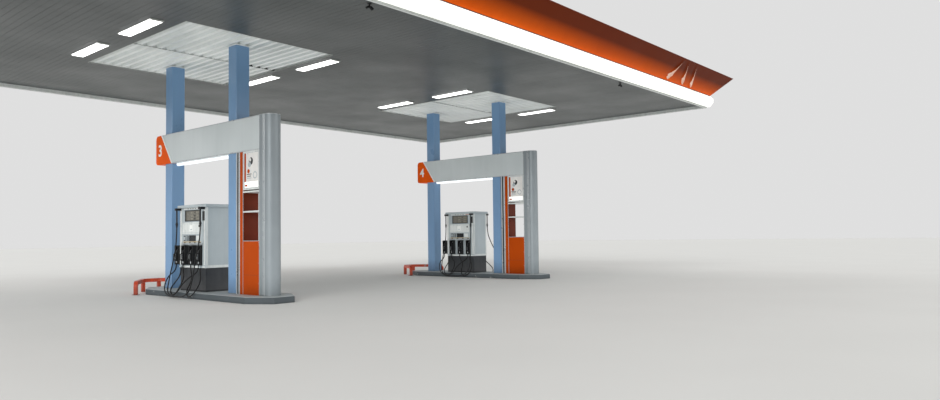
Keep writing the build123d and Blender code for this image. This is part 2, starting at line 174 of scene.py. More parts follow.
def reading_place(x: float, way: int, y: float, z: float) -> Matrix:
    """Matrix that stands a flat drawing upright on a face, so that it reads from outside."""
    return Matrix(((0, 0, way, x), (way, 0, 0, y), (0, 1, 0, z), (0, 0, 0, 1)))


def four_bars(low: Span, high: Span, over: Span) -> list[tuple[Span, Span]]:
    """Corners of the four bars that frame an opening, the first two the longer ones.

    Args:
        low: the opening's lower corner.
        high: its upper corner.
        over: how wide the bars are, in each of the two directions.

    Returns:
        A lower and an upper corner for each bar.
    """
    (a0, b0), (a1, b1), (wide_a, wide_b) = low, high, over
    return [((a0 - wide_a, b0 - wide_b), (a1 + wide_a, b0)), ((a0 - wide_a, b1), (a1 + wide_a, b1 + wide_b)),
            ((a0 - wide_a, b0), (a0, b1)), ((a1, b0), (a1 + wide_a, b1))]


# Finishes


@dataclass(frozen=True)
class Finish:
    """A painted, moulded or cast surface on Object coordinates.

    Pattern sizes are in millimetres. The drift is the slow change of tone over a surface,
    the runs are what rain and grime leave, the splashes what rain throws up from the ground,
    and the chips are where the top coat is gone. A span says from which value of its noise
    to which a pattern comes in.
    """

    name: str
    colour: str
    drift: str
    dirt: str = "#3b3a36"
    chip: str = "#6d6a66"
    roughness: float = 0.45
    roughness_play: Span = (-0.05, 0.06)
    metallic: float = 0.0
    specular: float = 0.5
    coat: float = 0.0
    coat_roughness: float = 0.20
    drift_mm: float = 900.0
    drift_span: Span = (0.34, 0.66)
    run_mm: float = 160.0
    run_span: Span = (0.42, 0.78)
    run_stretch: Point = (1.0, 1.0, 0.10)
    dirt_amount: float = 0.25
    wear_scale: float = 2.4
    wear_span: Span = (0.3, 0.7)
    splash_m: float = 0.0
    splash_mm: float = 160.0
    splash_rise: float = -0.8
    splash_foot: float = 0.02
    splash_amount: float = 0.55
    chip_mm: float = 9.0
    chip_amount: float = 0.0
    chip_patch: float = 14.0
    chip_span: Span = (0.45, 0.7)
    chip_edge: float = 0.62
    chip_gain: float = 0.3
    chip_soft: float = 0.05
    grain_mm: float = 6.0
    grain_depth_mm: float = 0.03
    wave_mm: float = 0.0
    wave_depth_mm: float = 0.0

    def layers(self, tree: Tree, place: Socket) -> list[tuple[Socket, str]]:
        """What lies over the ground colour: drift, runs, splashes and chips.

        Args:
            tree: the material's tree.
            place: the Object coordinates.

        Returns:
            The share and the colour of each layer, the lowest first.
        """
        slow = pattern(tree, place, self.drift_mm, 3.0, self.drift_span)
        stretched = add_node(tree, "ShaderNodeMapping",
                             {"Vector": place, "Scale": self.run_stretch}).outputs[0]
        runs = pattern(tree, stretched, self.run_mm, 3.0, (*self.run_span, 0.0, self.dirt_amount))
        found = [(slow, self.drift), (runs, self.dirt)]
        if self.splash_m:
            height = add_node(tree, "ShaderNodeSeparateXYZ", {0: place}).outputs[2]
            ragged = add_node(tree, "ShaderNodeTexNoise", blotches(place, self.splash_mm, 4.0)).outputs["Fac"]
            lifted = add_node(tree, "ShaderNodeMath",
                              {0: ragged, 1: self.splash_rise * self.splash_m, 2: height},
                              operation="MULTIPLY_ADD").outputs[0]
            ends = {1: self.splash_foot, 2: self.splash_m, 3: self.splash_amount, 4: 0.0}
            low = add_node(tree, "ShaderNodeMapRange", {0: lifted, **ends}, clamp=True).outputs[0]
            found.append((low, self.dirt))
        if self.chip_amount:
            flakes = add_node(tree, "ShaderNodeTexNoise", blotches(place, self.chip_mm, 6.0)).outputs["Fac"]
            patches = pattern(tree, place, self.chip_patch * self.chip_mm, 3.0, self.chip_span)
            both = add_node(tree, "ShaderNodeMath", {0: flakes, 1: patches}, operation="MULTIPLY").outputs[0]
            edge = self.chip_edge - self.chip_gain * self.chip_amount
            ends = {1: edge, 2: edge + self.chip_soft}
            bare = add_node(tree, "ShaderNodeMapRange", {0: both, **ends}, clamp=True).outputs[0]
            found.append((bare, self.chip))
        return found

    def bumps(self, tree: Tree, place: Socket) -> list[tuple[Socket, float]]:
        """Heights of the fine grain and, where the surface has them, of its soft waves.

        Args:
            tree: the material's tree.
            place: the Object coordinates.

        Returns:
            The height and its depth in millimetres, for each.
        """
        sizes = [(self.grain_mm, 2.0, self.grain_depth_mm)]
        if self.wave_mm:
            sizes.append((self.wave_mm, 1.0, self.wave_depth_mm))
        return [(add_node(tree, "ShaderNodeTexNoise", blotches(place, size, detail)).outputs["Fac"], depth)
                for size, detail, depth in sizes]

    def build(self) -> Material:
        """Make the material.

        Returns:
            A material named after the real one.
        """
        material, tree, place = blank_material(self.name)
        colour = linear(self.colour)
        for share, tone in self.layers(tree, place):
            colour = add_node(tree, "ShaderNodeMix", {0: share, 6: colour, 7: linear(tone)},
                              data_type="RGBA").outputs[2]
        normal = {}
        for height, depth_mm in self.bumps(tree, place):
            inputs = {"Strength": 1.0, "Distance": depth_mm / 1000, "Height": height, **normal}
            normal = {"Normal": add_node(tree, "ShaderNodeBump", inputs).outputs[0]}
        ends = (self.roughness + play for play in self.roughness_play)
        rough = pattern(tree, place, self.wear_scale * self.run_mm, 4.0, (*self.wear_span, *ends))
        shader = add_node(tree, "ShaderNodeBsdfPrincipled", {
            "Base Color": colour, "Metallic": self.metallic, "Roughness": rough, "Coat Weight": self.coat,
            "Specular IOR Level": self.specular, "Coat Roughness": self.coat_roughness, **normal})
        add_node(tree, "ShaderNodeOutputMaterial", {"Surface": shader.outputs[0]})
        return material


@dataclass(frozen=True)
class FlareFinish(Finish):
    """A surface that turns to a second colour between two heights: painted light and shade that follow
    height.
    """

    upper: str = "#431607"
    upper_share: float = 0.90
    foot_z: float = 6.38
    top_z: float = 6.75

    def layers(self, tree: Tree, place: Socket) -> list[tuple[Socket, str]]:
        """The usual layers, and over them the upper colour.

        Args:
            tree: the material's tree.
            place: the Object coordinates.

        Returns:
            The share and the colour of each layer, the lowest first.
        """
        found = super().layers(tree, place)
        height = add_node(tree, "ShaderNodeSeparateXYZ", {0: place}).outputs[2]
        ends = {1: self.foot_z, 2: self.top_z, 4: self.upper_share}
        share = add_node(tree, "ShaderNodeMapRange", {0: height, **ends}, clamp=True).outputs[0]
        return [*found, (share, self.upper)]


@dataclass(frozen=True)
class SlatFinish(Finish):
    """Fine-ribbed ceiling strip: shallow grooves along Y, a few to each board."""

    groove_mm: float = 50.0
    groove_depth_mm: float = 2.5
    groove_edge: float = 0.22

    def bumps(self, tree: Tree, place: Socket) -> list[tuple[Socket, float]]:
        """The paint's own grain, and the grooves over it.

        Args:
            tree: the material's tree.
            place: the Object coordinates.

        Returns:
            The height and its depth in millimetres, for each.
        """
        found = super().bumps(tree, place)
        across = add_node(tree, "ShaderNodeSeparateXYZ", {0: place}).outputs[0]
        turn = {0: across, 1: 1000 * math.pi / self.groove_mm}
        for operation in ("MULTIPLY", "SINE", "ABSOLUTE"):
            turn = {0: add_node(tree, "ShaderNodeMath", turn, operation=operation).outputs[0]}
        sharp = add_node(tree, "ShaderNodeMapRange", {**turn, 2: self.groove_edge}, clamp=True).outputs[0]
        return [*found, (sharp, self.groove_depth_mm)]


@dataclass(frozen=True)
class Glow:
    """Opal acrylic lit from behind: white, a little greyer where dust lies on it."""

    name: str
    colour: str = "#fbfcfa"
    dust: str = "#dfe1de"
    strength: float = 1.0
    roughness: float = 0.35
    dust_mm: float = 260.0
    dust_span: Span = (0.5, 0.8)

    def build(self) -> Material:
        """Make the glowing material.

        Returns:
            A material named after the real one.
        """
        material, tree, place = blank_material(self.name)
        cloud = add_node(tree, "ShaderNodeTexNoise", blotches(place, self.dust_mm, 4.0, 0.5)).outputs["Fac"]
        ends = {1: self.dust_span[0], 2: self.dust_span[1]}
        share = add_node(tree, "ShaderNodeMapRange", {0: cloud, **ends}, clamp=True).outputs[0]
        tones = {0: share, 6: linear(self.colour), 7: linear(self.dust)}
        tone = add_node(tree, "ShaderNodeMix", tones, data_type="RGBA").outputs[2]
        shader = add_node(tree, "ShaderNodeBsdfPrincipled", {
            "Base Color": tone, "Roughness": self.roughness, "Emission Color": tone,
            "Emission Strength": self.strength})
        add_node(tree, "ShaderNodeOutputMaterial", {"Surface": shader.outputs[0]})
        return material


class Finishes(Enum):
    """The finishes of the object, each by what it is made of."""

    # Two-pack gloss on rolled steel: blue-grey, with long soft reflections and faint rain runs
    COLUMN_BLUE = Finish("gloss_paint_blue_steel", "#7398bd", "#698eb4", dirt="#4f6783", roughness=0.32,
                         coat=0.10, drift_mm=2600, dirt_amount=0.06, splash_m=0.4)
    # Aluminium composite panel in silver: satin and clean, faintly rippled, dusty near the ground
    SILVER = Finish("composite_panel_silver", "#ccd3d4", "#c2cacb", dirt="#8f9799", roughness=0.34,
                    metallic=0.15, coat=0.10, drift_mm=2400, run_mm=260, dirt_amount=0.10, splash_m=0.3,
                    wave_mm=1200, wave_depth_mm=1.2)
    # The same panel rolled to a half round, smooth enough for long reflections, and toned deeper than the
    # flat panels as painted shade
    NOSE_SILVER = Finish("composite_panel_rolled", "#8d9599", "#838b8f", dirt="#6f777a", roughness=0.36,
                         metallic=0.22, coat=0.06, drift_mm=1500, run_mm=180, dirt_amount=0.10, splash_m=0.45)
    # Signal orange gloss film over sheet: saturated, scuffed low down, and toned deeper than on the header
    # ends as painted shade
    ORANGE = Finish("gloss_film_orange", "#b24503", "#a63f02", dirt="#7a300a", specular=0.06, drift_mm=1400,
                    run_mm=150, dirt_amount=0.12, splash_m=0.3, wave_mm=900, wave_depth_mm=1.0)
    # The same film on the header ends, made brighter than on the pylons as painted light
    END_ORANGE = Finish("gloss_film_bright_orange", "#ea5a06", "#de5404", dirt="#9c3808", roughness=0.42,
                        specular=0.06, drift_mm=600, run_mm=150, dirt_amount=0.08)
    # Fascia sheet of the same orange, painted light and shade: bright at its foot by the light strip,
    # darkening towards its top
    FLARE_ORANGE = FlareFinish("fascia_sheet_orange", "#e86003", "#e05802", dirt="#9c3808", roughness=0.42,
                               specular=0.06, drift_mm=3000, run_mm=300, dirt_amount=0.12, wave_mm=1400,
                               wave_depth_mm=3.0)
    # Galvanised trough sheet painted pale grey: it catches the lamps along each rib
    CEILING_SHEET = Finish("trough_sheet_pale_grey", "#e4e8e7", "#d3d8d7", dirt="#a3a59f", roughness=0.34,
                           metallic=0.05, drift_mm=1500, run_mm=240, run_stretch=(1.0, 0.06, 1.0),
                           dirt_amount=0.20)
    # Coil-coated ceiling strip: matt grey toned dark as painted shade, with fine grooves and smoky patches
    # near the lamps
    SOFFIT_GREY = SlatFinish("ceiling_strip_grey", "#434848", "#3a3f3f", dirt="#3f4241", roughness=0.40,
                             drift_mm=3200, run_mm=700, run_stretch=(1.0, 0.10, 1.0), groove_depth_mm=0.5)
    # Folded edge trim, off-white, with a dirty drip line
    TRIM_WHITE = Finish("folded_trim_off_white", "#c0c4c0", "#acb0ac", dirt="#6d6c65", roughness=0.42,
                        dirt_amount=0.35)
    # Hot-dip galvanised steel: dull zinc with a mottled bloom
    GALVANISED = Finish("galvanised_steel", "#8d9395", "#777d80", dirt="#54504a", roughness=0.48,
                        metallic=0.7, drift_mm=45, run_mm=80, dirt_amount=0.30)
    # Roof sheet seen by the sky: chalky, streaked along its ribs with soot
    ROOF_SHEET = Finish("roof_sheet_zinc_grey", "#a2a8a9", "#8d9394", dirt="#5d5b55", roughness=0.5,
                        metallic=0.3, drift_mm=1500, run_mm=260, run_stretch=(1.0, 0.06, 1.0),
                        dirt_amount=0.5)
    # Brushed aluminium extrusion: bright, with a fine grain
    ALUMINIUM = Finish("brushed_aluminium", "#c6cbcd", "#b9bec1", dirt="#8f9498", roughness=0.30,
                       metallic=0.75, drift_mm=500, run_mm=90, dirt_amount=0.20)
    # Painted concrete kerb: blue-grey sides chipped to pale concrete, its top painted pale as painted light
    # from above
    KERB_PAINT = FlareFinish("painted_concrete_kerb", "#485054", "#40474b", dirt="#43494c", chip="#a5a6a0",
                             roughness=0.60, specular=0.35, drift_mm=600, run_mm=240, dirt_amount=0.35,
                             splash_m=0.13, chip_mm=16, chip_amount=0.4, grain_mm=10, grain_depth_mm=0.8,
                             upper="#a3a9aa", foot_z=0.134, top_z=0.147)
    # Powder-coated cabinet steel: light grey, slight orange peel
    CABINET = Finish("powder_coat_light_grey", "#aeb8bb", "#a4aeb2", dirt="#767c7e", roughness=0.36,
                     coat=0.15, run_mm=140, dirt_amount=0.10, grain_mm=5, grain_depth_mm=0.05)
    # White enamelled strips and panels of the cabinet
    ENAMEL = Finish("white_enamel", "#dadedc", "#ced3d1", dirt="#989b97", roughness=0.3, coat=0.25,
                    drift_mm=350, run_mm=90)
    # Textured anthracite paint of the cabinet's base, greyed by dust low down
    BASE_GREY = Finish("textured_paint_anthracite", "#292d32", "#23272b", dirt="#4a4a4b", chip="#7b7d7e",
                       roughness=0.5, drift_mm=400, run_mm=140, dirt_amount=0.30, splash_m=0.40, chip_mm=10,
                       chip_amount=0.15, grain_mm=4, grain_depth_mm=0.15)
    # Injection-moulded ABS: black, fine spark-eroded texture, greyed on the grips
    BLACK_PLASTIC = Finish("moulded_abs_black", "#121315", "#1b1c1e", dirt="#34332f", roughness=0.42,
                           specular=0.35, drift_mm=60, run_mm=40, dirt_amount=0.20, grain_mm=3,
                           grain_depth_mm=0.08)
    # Cast aluminium of the nozzles, painted dark and rubbed bright on its corners
    NOZZLE_GREY = Finish("cast_aluminium_nozzle", "#34373a", "#27292c", dirt="#191a1b", chip="#b9bdbf",
                         roughness=0.34, metallic=0.4, drift_mm=30, run_mm=30, dirt_amount=0.3, chip_mm=8,
                         chip_amount=0.6)
    # Nitrile hose cover: black, a little dusty where it lies low
    HOSE_RUBBER = Finish("nitrile_hose_black", "#0b0c0d", "#121314", dirt="#2a2927", roughness=0.50,
                         specular=0.30, drift_mm=90, run_mm=40, run_stretch=(1.0, 1.0, 1.0), grain_mm=5,
                         grain_depth_mm=0.1)
    # Tinted display glass over a grey crystal panel
    DISPLAY_GLASS = Finish("display_glass_brown_grey", "#6b675d", "#5e5b52", dirt="#4a473f", roughness=0.22,
                           coat=0.20, drift_mm=220, run_mm=60, run_stretch=(1.0, 1.0, 1.0), dirt_amount=0.30)
    # Smoked acrylic of the small window
    SMOKED = Finish("smoked_acrylic", "#0e1012", "#16191c", dirt="#33373a", roughness=0.25, specular=0.30,
                    drift_mm=80, run_mm=60, dirt_amount=0.2)
    # Printed number segments, ink black
    INK = Finish("screen_ink_black", "#1c1e1f", "#25282a", dirt="#3c3e40", roughness=0.5, drift_mm=40,
                 run_mm=30, dirt_amount=0.2)
    # White vinyl numerals, cut and stuck on
    VINYL_WHITE = Finish("cut_vinyl_white", "#f2f4f2", "#e9ece9", dirt="#b4b4ae", roughness=0.35,
                         drift_mm=160, run_mm=60, dirt_amount=0.2)
    # Closure plates at the far end of the ribs: glossy, whiter than the sheet as painted light from the lamps
    # they face
    CLOSURE_WHITE = Finish("closure_plate_white", "#f4f6f4", "#e6e9e7", dirt="#b4b6b0", roughness=0.3,
                           drift_mm=240, run_mm=90)
    # Yellow vinyl line under the display
    VINYL_YELLOW = Finish("cut_vinyl_yellow", "#c9a23a", "#b98f2e", dirt="#6e5a26", roughness=0.4,
                          drift_mm=120, run_mm=60)
    # Guard rail: red-orange gloss, worn to primer along its top and scraped low down
    RAIL_ORANGE = Finish("worn_rail_paint_orange", "#c4441f", "#ae3a1a", dirt="#5c2c1e", chip="#8d8580",
                         roughness=0.42, specular=0.4, drift_mm=260, run_mm=120, dirt_amount=0.35,
                         splash_m=0.2, chip_mm=12, chip_amount=0.55)
    # The dark inner faces of seams and vents, and painted shade in reveals, at laps and along shadow lines
    SHADOW = Finish("unpainted_recess_dark", "#26282a", "#1e2022", dirt="#39393a", roughness=0.7, drift_mm=90,
                    run_mm=60, dirt_amount=0.3)
    # Painted shade: closures pushed into the ribs at the lap of the sheets, charcoal where shade falls on
    # them
    FOAM = Finish("closure_foam_charcoal", "#2f3131", "#262828", dirt="#4a4a45", roughness=0.85, drift_mm=30,
                  run_mm=30, dirt_amount=0.3, grain_depth_mm=0.6)
    # Number windows of the display: unlit crystal film behind the glass
    CRYSTAL = Finish("crystal_window_grey", "#7d796c", "#726e62", dirt="#58554b", roughness=0.25, drift_mm=60,
                     run_mm=40, run_stretch=(1.0, 1.0, 1.0), dirt_amount=0.20)
    # Painted highlight along the folds of the fascia: a pale sheen where the light catches each crease
    STRESSED_FILM = Finish("film_stress_whitened", "#f0d2c2", "#e2b49c", dirt="#b8633a", roughness=0.40,
                           specular=0.30, drift_mm=120, run_mm=60, dirt_amount=0.30)
    # Painted shade in the niches: thin matt sheets of a deeper, browner orange on their side walls
    NICHE_LINING = Finish("niche_sheet_deep_orange", "#6a2409", "#5c1f07", dirt="#571c07", specular=0.20,
                          drift_mm=500, run_mm=150)
    # Printed ground of the poster film, a pale cool white
    POSTER_GROUND = Finish("poster_film_pale", "#e9e8e4", "#dcdad7", dirt="#b5aeaa", roughness=0.35,
                           specular=0.30, drift_mm=300, run_mm=120, dirt_amount=0.20)
    # Lamps and lit boxes
    LAMP = Glow("opal_acrylic_lamp", strength=3.0)
    STRIP = Glow("opal_acrylic_strip", colour="#f8f9f6", dust="#dfe1db", strength=0.62, dust_mm=900)
    LIT_BOX = Glow("opal_acrylic_poster_box", colour="#f3f4f0", dust="#dcdeda", strength=0.55)
    TUBE = Glow("fluorescent_tube_white", colour="#eef2f2", dust="#cfd6d8", strength=0.9)


class Workshop:
    """Builds each finish once, when it is first asked for."""

    def __init__(self) -> None:
        """Start with no materials made."""
        self.made: dict[Finishes, Material] = {}

    def __getitem__(self, finish: Finishes) -> Material:
        """Material of a finish, made when it is first asked for.

        Args:
            finish: the finish.

        Returns:
            Its material.
        """
        if finish not in self.made:
            self.made[finish] = finish.value.build()
        return self.made[finish]


# Geometry Nodes


class Unit(Enum):
    """What a row repeats."""

    BLOCK = "block"
    ROUND = "round"
    WEDGE = "wedge"


class Rows:
    """Geometry Nodes tree that repeats one unit in rows and columns."""

    def __init__(self, unit: Unit) -> None:
        """Build the tree for one kind of unit.

        Args:
            unit: block, round or wedge. A wedge is narrower at its top.
        """
        self.tree = bpy.data.node_groups.new(f"rows_of_{unit.value}s", "GeometryNodeTree")
        for label, kind, value in (("Start", "Vector", (0, 0, 0)), ("Step along", "Vector", (0, 1, 0)),
                                   ("Step across", "Vector", (1, 0, 0)), ("Count along", "Int", 1),
                                   ("Count across", "Int", 1), ("Size", "Vector", (0.1, 0.1, 0.1)),
                                   ("Turn", "Vector", (0, 0, 0)), ("Play", "Vector", (0, 0, 0)),
                                   ("Taper", "Float", 0.6), ("Sides", "Int", 12), ("Seed", "Int", 7),
                                   ("Finish", "Material", None)):
            socket = self.tree.interface.new_socket(name=label, in_out="INPUT",
                                                    socket_type=f"NodeSocket{kind}")
            if value is not None:
                socket.default_value = value
        self.tree.interface.new_socket(name="Geometry", in_out="OUTPUT", socket_type="NodeSocketGeometry")
        given = add_node(self.tree, "NodeGroupInput").outputs
        along = add_node(self.tree, "GeometryNodeMeshLine", {
            "Count": given["Count along"], "Offset": given["Step along"], "Start Location": given["Start"]})
        across = add_node(self.tree, "GeometryNodeMeshLine", {
            "Count": given["Count across"], "Offset": given["Step across"]})
        grid = add_node(self.tree, "GeometryNodeInstanceOnPoints", {
            "Points": across.outputs[0], "Instance": along.outputs[0]})
        points = add_node(self.tree, "GeometryNodeRealizeInstances", {0: grid.outputs[0]})
        least = add_node(self.tree, "ShaderNodeVectorMath", {0: given["Play"], 3: -1.0}, operation="SCALE")
        random = add_node(self.tree, "FunctionNodeRandomValue", {
            0: least.outputs[0], 1: given["Play"], "Seed": given["Seed"]}, data_type="FLOAT_VECTOR")
        moved = add_node(self.tree, "GeometryNodeSetPosition", {
            "Geometry": points.outputs[0], "Offset": random.outputs[0]})
        placed = add_node(self.tree, "GeometryNodeInstanceOnPoints", {
            "Points": moved.outputs[0], "Instance": self.unit(unit, given), "Rotation": given["Turn"]})
        whole = add_node(self.tree, "GeometryNodeRealizeInstances", {0: placed.outputs[0]})
        finished = add_node(self.tree, "GeometryNodeSetMaterial", {
            "Geometry": whole.outputs[0], "Material": given["Finish"]})
        add_node(self.tree, "NodeGroupOutput", {0: finished.outputs[0]})

    def unit(self, unit: Unit, given: bpy.types.NodeOutputs) -> Socket:
        """Geometry of one unit, centred, from the Size input.

        Args:
            unit: the kind of unit.
            given: the tree's inputs.

        Returns:
            The unit's mesh socket.
        """
        if unit is Unit.BLOCK:
            return add_node(self.tree, "GeometryNodeMeshCube", {"Size": given["Size"]}).outputs[0]
        size = add_node(self.tree, "ShaderNodeSeparateXYZ", {0: given["Size"]}).outputs
        if unit is Unit.ROUND:
            radius = add_node(self.tree, "ShaderNodeMath", {0: size[0], 1: 0.5},
                              operation="MULTIPLY").outputs[0]
            return add_node(self.tree, "GeometryNodeMeshCylinder", {
                "Vertices": given["Sides"], "Radius": radius, "Depth": size[2]}).outputs[0]
        cone = add_node(self.tree, "GeometryNodeMeshCone", {
            "Vertices": 4, "Radius Top": given["Taper"], "Radius Bottom": 1.0, "Depth": 1.0}).outputs[0]
        square = add_node(self.tree, "GeometryNodeTransform", {
            "Geometry": cone, "Translation": (0, 0, -0.5), "Rotation": (0, 0, math.pi / 4),
            "Scale": (math.sqrt(0.5), math.sqrt(0.5), 1.0)}).outputs[0]
        return add_node(self.tree, "GeometryNodeTransform",
                        {"Geometry": square, "Scale": given["Size"]}).outputs[0]

    def mesh(self, **values: object) -> bpy.types.Mesh:
        """Evaluate the tree with these inputs.

        Args:
            values: inputs by name, with underscores for spaces, the first letter small.

        Returns:
            A plain mesh.
        """
        holder = bpy.data.objects.new("rows_holder", bpy.data.meshes.new("rows_holder"))
        bpy.context.scene.collection.objects.link(holder)
        modifier = holder.modifiers.new("rows", "NODES")
        modifier.node_group = self.tree
        for item in self.tree.interface.items_tree:
            key = item.name.lower().replace(" ", "_")
            if item.in_out == "INPUT" and key in values:
                modifier[item.identifier] = values[key]
        holder.update_tag()
        depsgraph = bpy.context.evaluated_depsgraph_get()
        mesh = bpy.data.meshes.new_from_object(holder.evaluated_get(depsgraph))
        holder.modifiers.clear()
        bpy.data.objects.remove(holder)
        return mesh


class Shape:
    """Closed shells gathered into one mesh, each with its own finish."""

    rounding = {"segments": 2, "profile": 0.6, "affect": "EDGES"}
    # Height of a figure as a share of its type size, how much bolder it is drawn, and its steps a curve
    figure_share = 0.7
    figure_bold = 0.030
    figure_steps = 4

    def __init__(self, name: str, shop: Workshop) -> None:
        """Start an empty piece.

        Args:
            name: the piece's name.
            shop: where its finishes come from.
        """
        self.name = name
        self.shop = shop
        self.bm = bmesh.new()
        self.used: list[Finishes] = []

    def take(self, part: bmesh.types.BMesh, finish: Finishes, place: Matrix | None = None) -> None:
        """Move a shell to its place and join it to the piece.

        Args:
            part: the shell, freed here.
            finish: its finish.
            place: matrix from the shell's own axes to the frame.
        """
        if place is not None:
            bmesh.ops.transform(part, matrix=place, verts=part.verts)
        bmesh.ops.recalc_face_normals(part, faces=part.faces)
        for edge in part.edges:
            edge.smooth = all(face.smooth for face in edge.link_faces)
        if finish not in self.used:
            self.used.append(finish)
        for face in part.faces:
            face.material_index = self.used.index(finish)
        mesh = bpy.data.meshes.new("shell")
        part.to_mesh(mesh)
        part.free()
        self.bm.from_mesh(mesh)
        bpy.data.meshes.remove(mesh)

    def block(self, one: Point, other: Point, finish: Finishes, bevel: float = 0.0,
              place: Matrix | None = None) -> None:
        """Add a box between two corners.

        Args:
            one: a corner.
            other: the corner across from it.
            finish: its finish.
            bevel: how far its edges are rounded.
            place: matrix from the box's own axes to the frame.
        """
        part = bmesh.new()
        bmesh.ops.create_cube(part, size=1.0)
        low, high = Vector(tuple(map(min, one, other))), Vector(tuple(map(max, one, other)))
        bmesh.ops.scale(part, vec=high - low, verts=part.verts)
        bmesh.ops.translate(part, vec=(low + high) / 2, verts=part.verts)
        if bevel:
            bmesh.ops.bevel(part, geom=list(part.edges), offset=bevel, **self.rounding)
        self.take(part, finish, place)

    def prism(self, outline: Outline, low: float, high: float, finish: Finishes, place: Matrix,
              bevel: float = 0.0) -> None:
        """Add an outline in local x and y, drawn out along local z.

        Args:
            outline: its corners.
            low: where it starts along z.
            high: where it ends.
            finish: its finish.
            place: matrix from its own axes to the frame.
            bevel: how far its edges are rounded.
        """
        part = bmesh.new()
        base = part.faces.new([part.verts.new((x, y, low)) for x, y in outline])
        grown = bmesh.ops.extrude_face_region(part, geom=[base])
        top = [v for v in grown["geom"] if isinstance(v, bmesh.types.BMVert)]
        bmesh.ops.translate(part, vec=(0, 0, high - low), verts=top)
        if bevel:
            bmesh.ops.bevel(part, geom=list(part.edges), offset=bevel, clamp_overlap=True, **self.rounding)
        self.take(part, finish, place)

    def lathe(self, profile: Outline, finish: Finishes, place: Matrix, sides: int = 16) -> None:
        """Turn a profile about local z, closed at both ends.

        Args:
            profile: radius and height of each ring.
            finish: its finish.
            place: matrix from its own axes to the frame.
            sides: how many flats it has round it.
        """
        part = bmesh.new()
        rings = []
        for radius, height in profile:
            turn = [(radius * math.cos(a), radius * math.sin(a), height)
                    for a in (2 * math.pi * i / sides for i in range(sides))]
            rings.append([part.verts.new(p) for p in turn])
        self.skin(part, rings, smooth=sides)
        self.take(part, finish, place)

    def skin(self, part: bmesh.types.BMesh, rings: list[list[bmesh.types.BMVert]], smooth: int = 0,
             flat: int = 0) -> None:
        """Join rings of corners into a closed shell.

        Args:
            part: the shell.
            rings: its rings, each with as many corners.
            smooth: how many faces of each turn are smooth, counted from the ring's first corner.
            flat: how many of these, the first ones, are flat all the same.
        """
        count = len(rings[0])
        for below, above in zip(rings, rings[1:]):
            for k in range(count):
                j = (k + 1) % count
                part.faces.new((below[k], below[j], above[j], above[k])).smooth = flat <= k < smooth
        part.faces.new(rings[0][::-1])
        part.faces.new(rings[-1])

    def rod(self, start: Point, end: Point, radius: float, finish: Finishes, place: Matrix | None = None,
            end_radius: float | None = None, sides: int = 12) -> None:
        """Add a round bar between two points.

        Args:
            start: the middle of its first end.
            end: the middle of its other end.
            radius: its radius.
            finish: its finish.
            place: matrix from its own axes to the frame.
            end_radius: its radius at the other end, where that differs.
            sides: how many flats it has round it.
        """
        start, end = Vector(start), Vector(end)
        run = end - start
        own = Matrix.Translation(start) @ run.to_track_quat("Z", "Y").to_matrix().to_4x4()
        last = radius if end_radius is None else end_radius
        self.lathe([(radius, 0), (last, run.length)], finish, own if place is None else place @ own, sides)

    def graft(self, mesh: bpy.types.Mesh, finish: Finishes, place: Matrix | None = None) -> None:
        """Add a plain mesh, such as a grown row, and drop the mesh.

        Args:
            mesh: the mesh.
            finish: its finish.
            place: matrix from its own axes to the frame.
        """
        part = bmesh.new()
        part.from_mesh(mesh)
        bmesh.ops.remove_doubles(part, verts=part.verts, dist=1e-6)
        bpy.data.meshes.remove(mesh)
        self.take(part, finish, place)

    def repeat(self, rows: Rows, finish: Finishes, place: Matrix | None = None, **values: object) -> None:
        """Add a row of units, grown with these inputs of the tree."""
        self.graft(rows.mesh(finish=self.shop[finish], **values), finish, place)

    def words(self, text: str, height: float, depth: float, finish: Finishes, place: Matrix) -> None:
        """Add plain figures as solid shapes, centred on the place.

        Args:
            text: the figures.
            height: how tall they are.
            depth: how thick they are.
            finish: their finish.
            place: matrix from their own axes to the frame.
        """
        curve = bpy.data.curves.new("figures", "FONT")
        curve.body = text
        curve.size = height / self.figure_share
        curve.extrude = depth / 2
        curve.offset = self.figure_bold * height
        curve.align_x, curve.align_y = "CENTER", "CENTER"
        curve.resolution_u = self.figure_steps
        holder = bpy.data.objects.new("figures", curve)
        bpy.context.scene.collection.objects.link(holder)
        mesh = bpy.data.meshes.new_from_object(holder.evaluated_get(bpy.context.evaluated_depsgraph_get()))
        bpy.data.objects.remove(holder)
        bpy.data.curves.remove(curve)
        self.graft(mesh, finish, place)

    def done(self, slot: str, *replaced: str) -> bpy.types.Object:
        """Make the object, ride it on the body and hide the CAD nodes that it replaces.

        Args:
            slot: a material slot's name, not used.
            replaced: the CAD nodes that it replaces.

        Returns:
            The finished object, at the origin.
        """
        mesh = bpy.data.meshes.new(self.name)
        self.bm.to_mesh(mesh)
        self.bm.free()
        for finish in self.used:
            mesh.materials.append(self.shop[finish])
        piece = bpy.data.objects.new(self.name, mesh)
        bpy.context.scene.collection.objects.link(piece)
        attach(piece, "root")
        if replaced:
            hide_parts(*replaced)
        log.info("%s: %d faces", self.name, len(mesh.polygons))
        return piece


@dataclass(frozen=True)
class Assembly:
    """What each part of the canopy is made with: the finishes, and the rows of each unit."""

    shop: Workshop
    blocks: Rows
    rounds: Rows
    wedges: Rows


# Stage


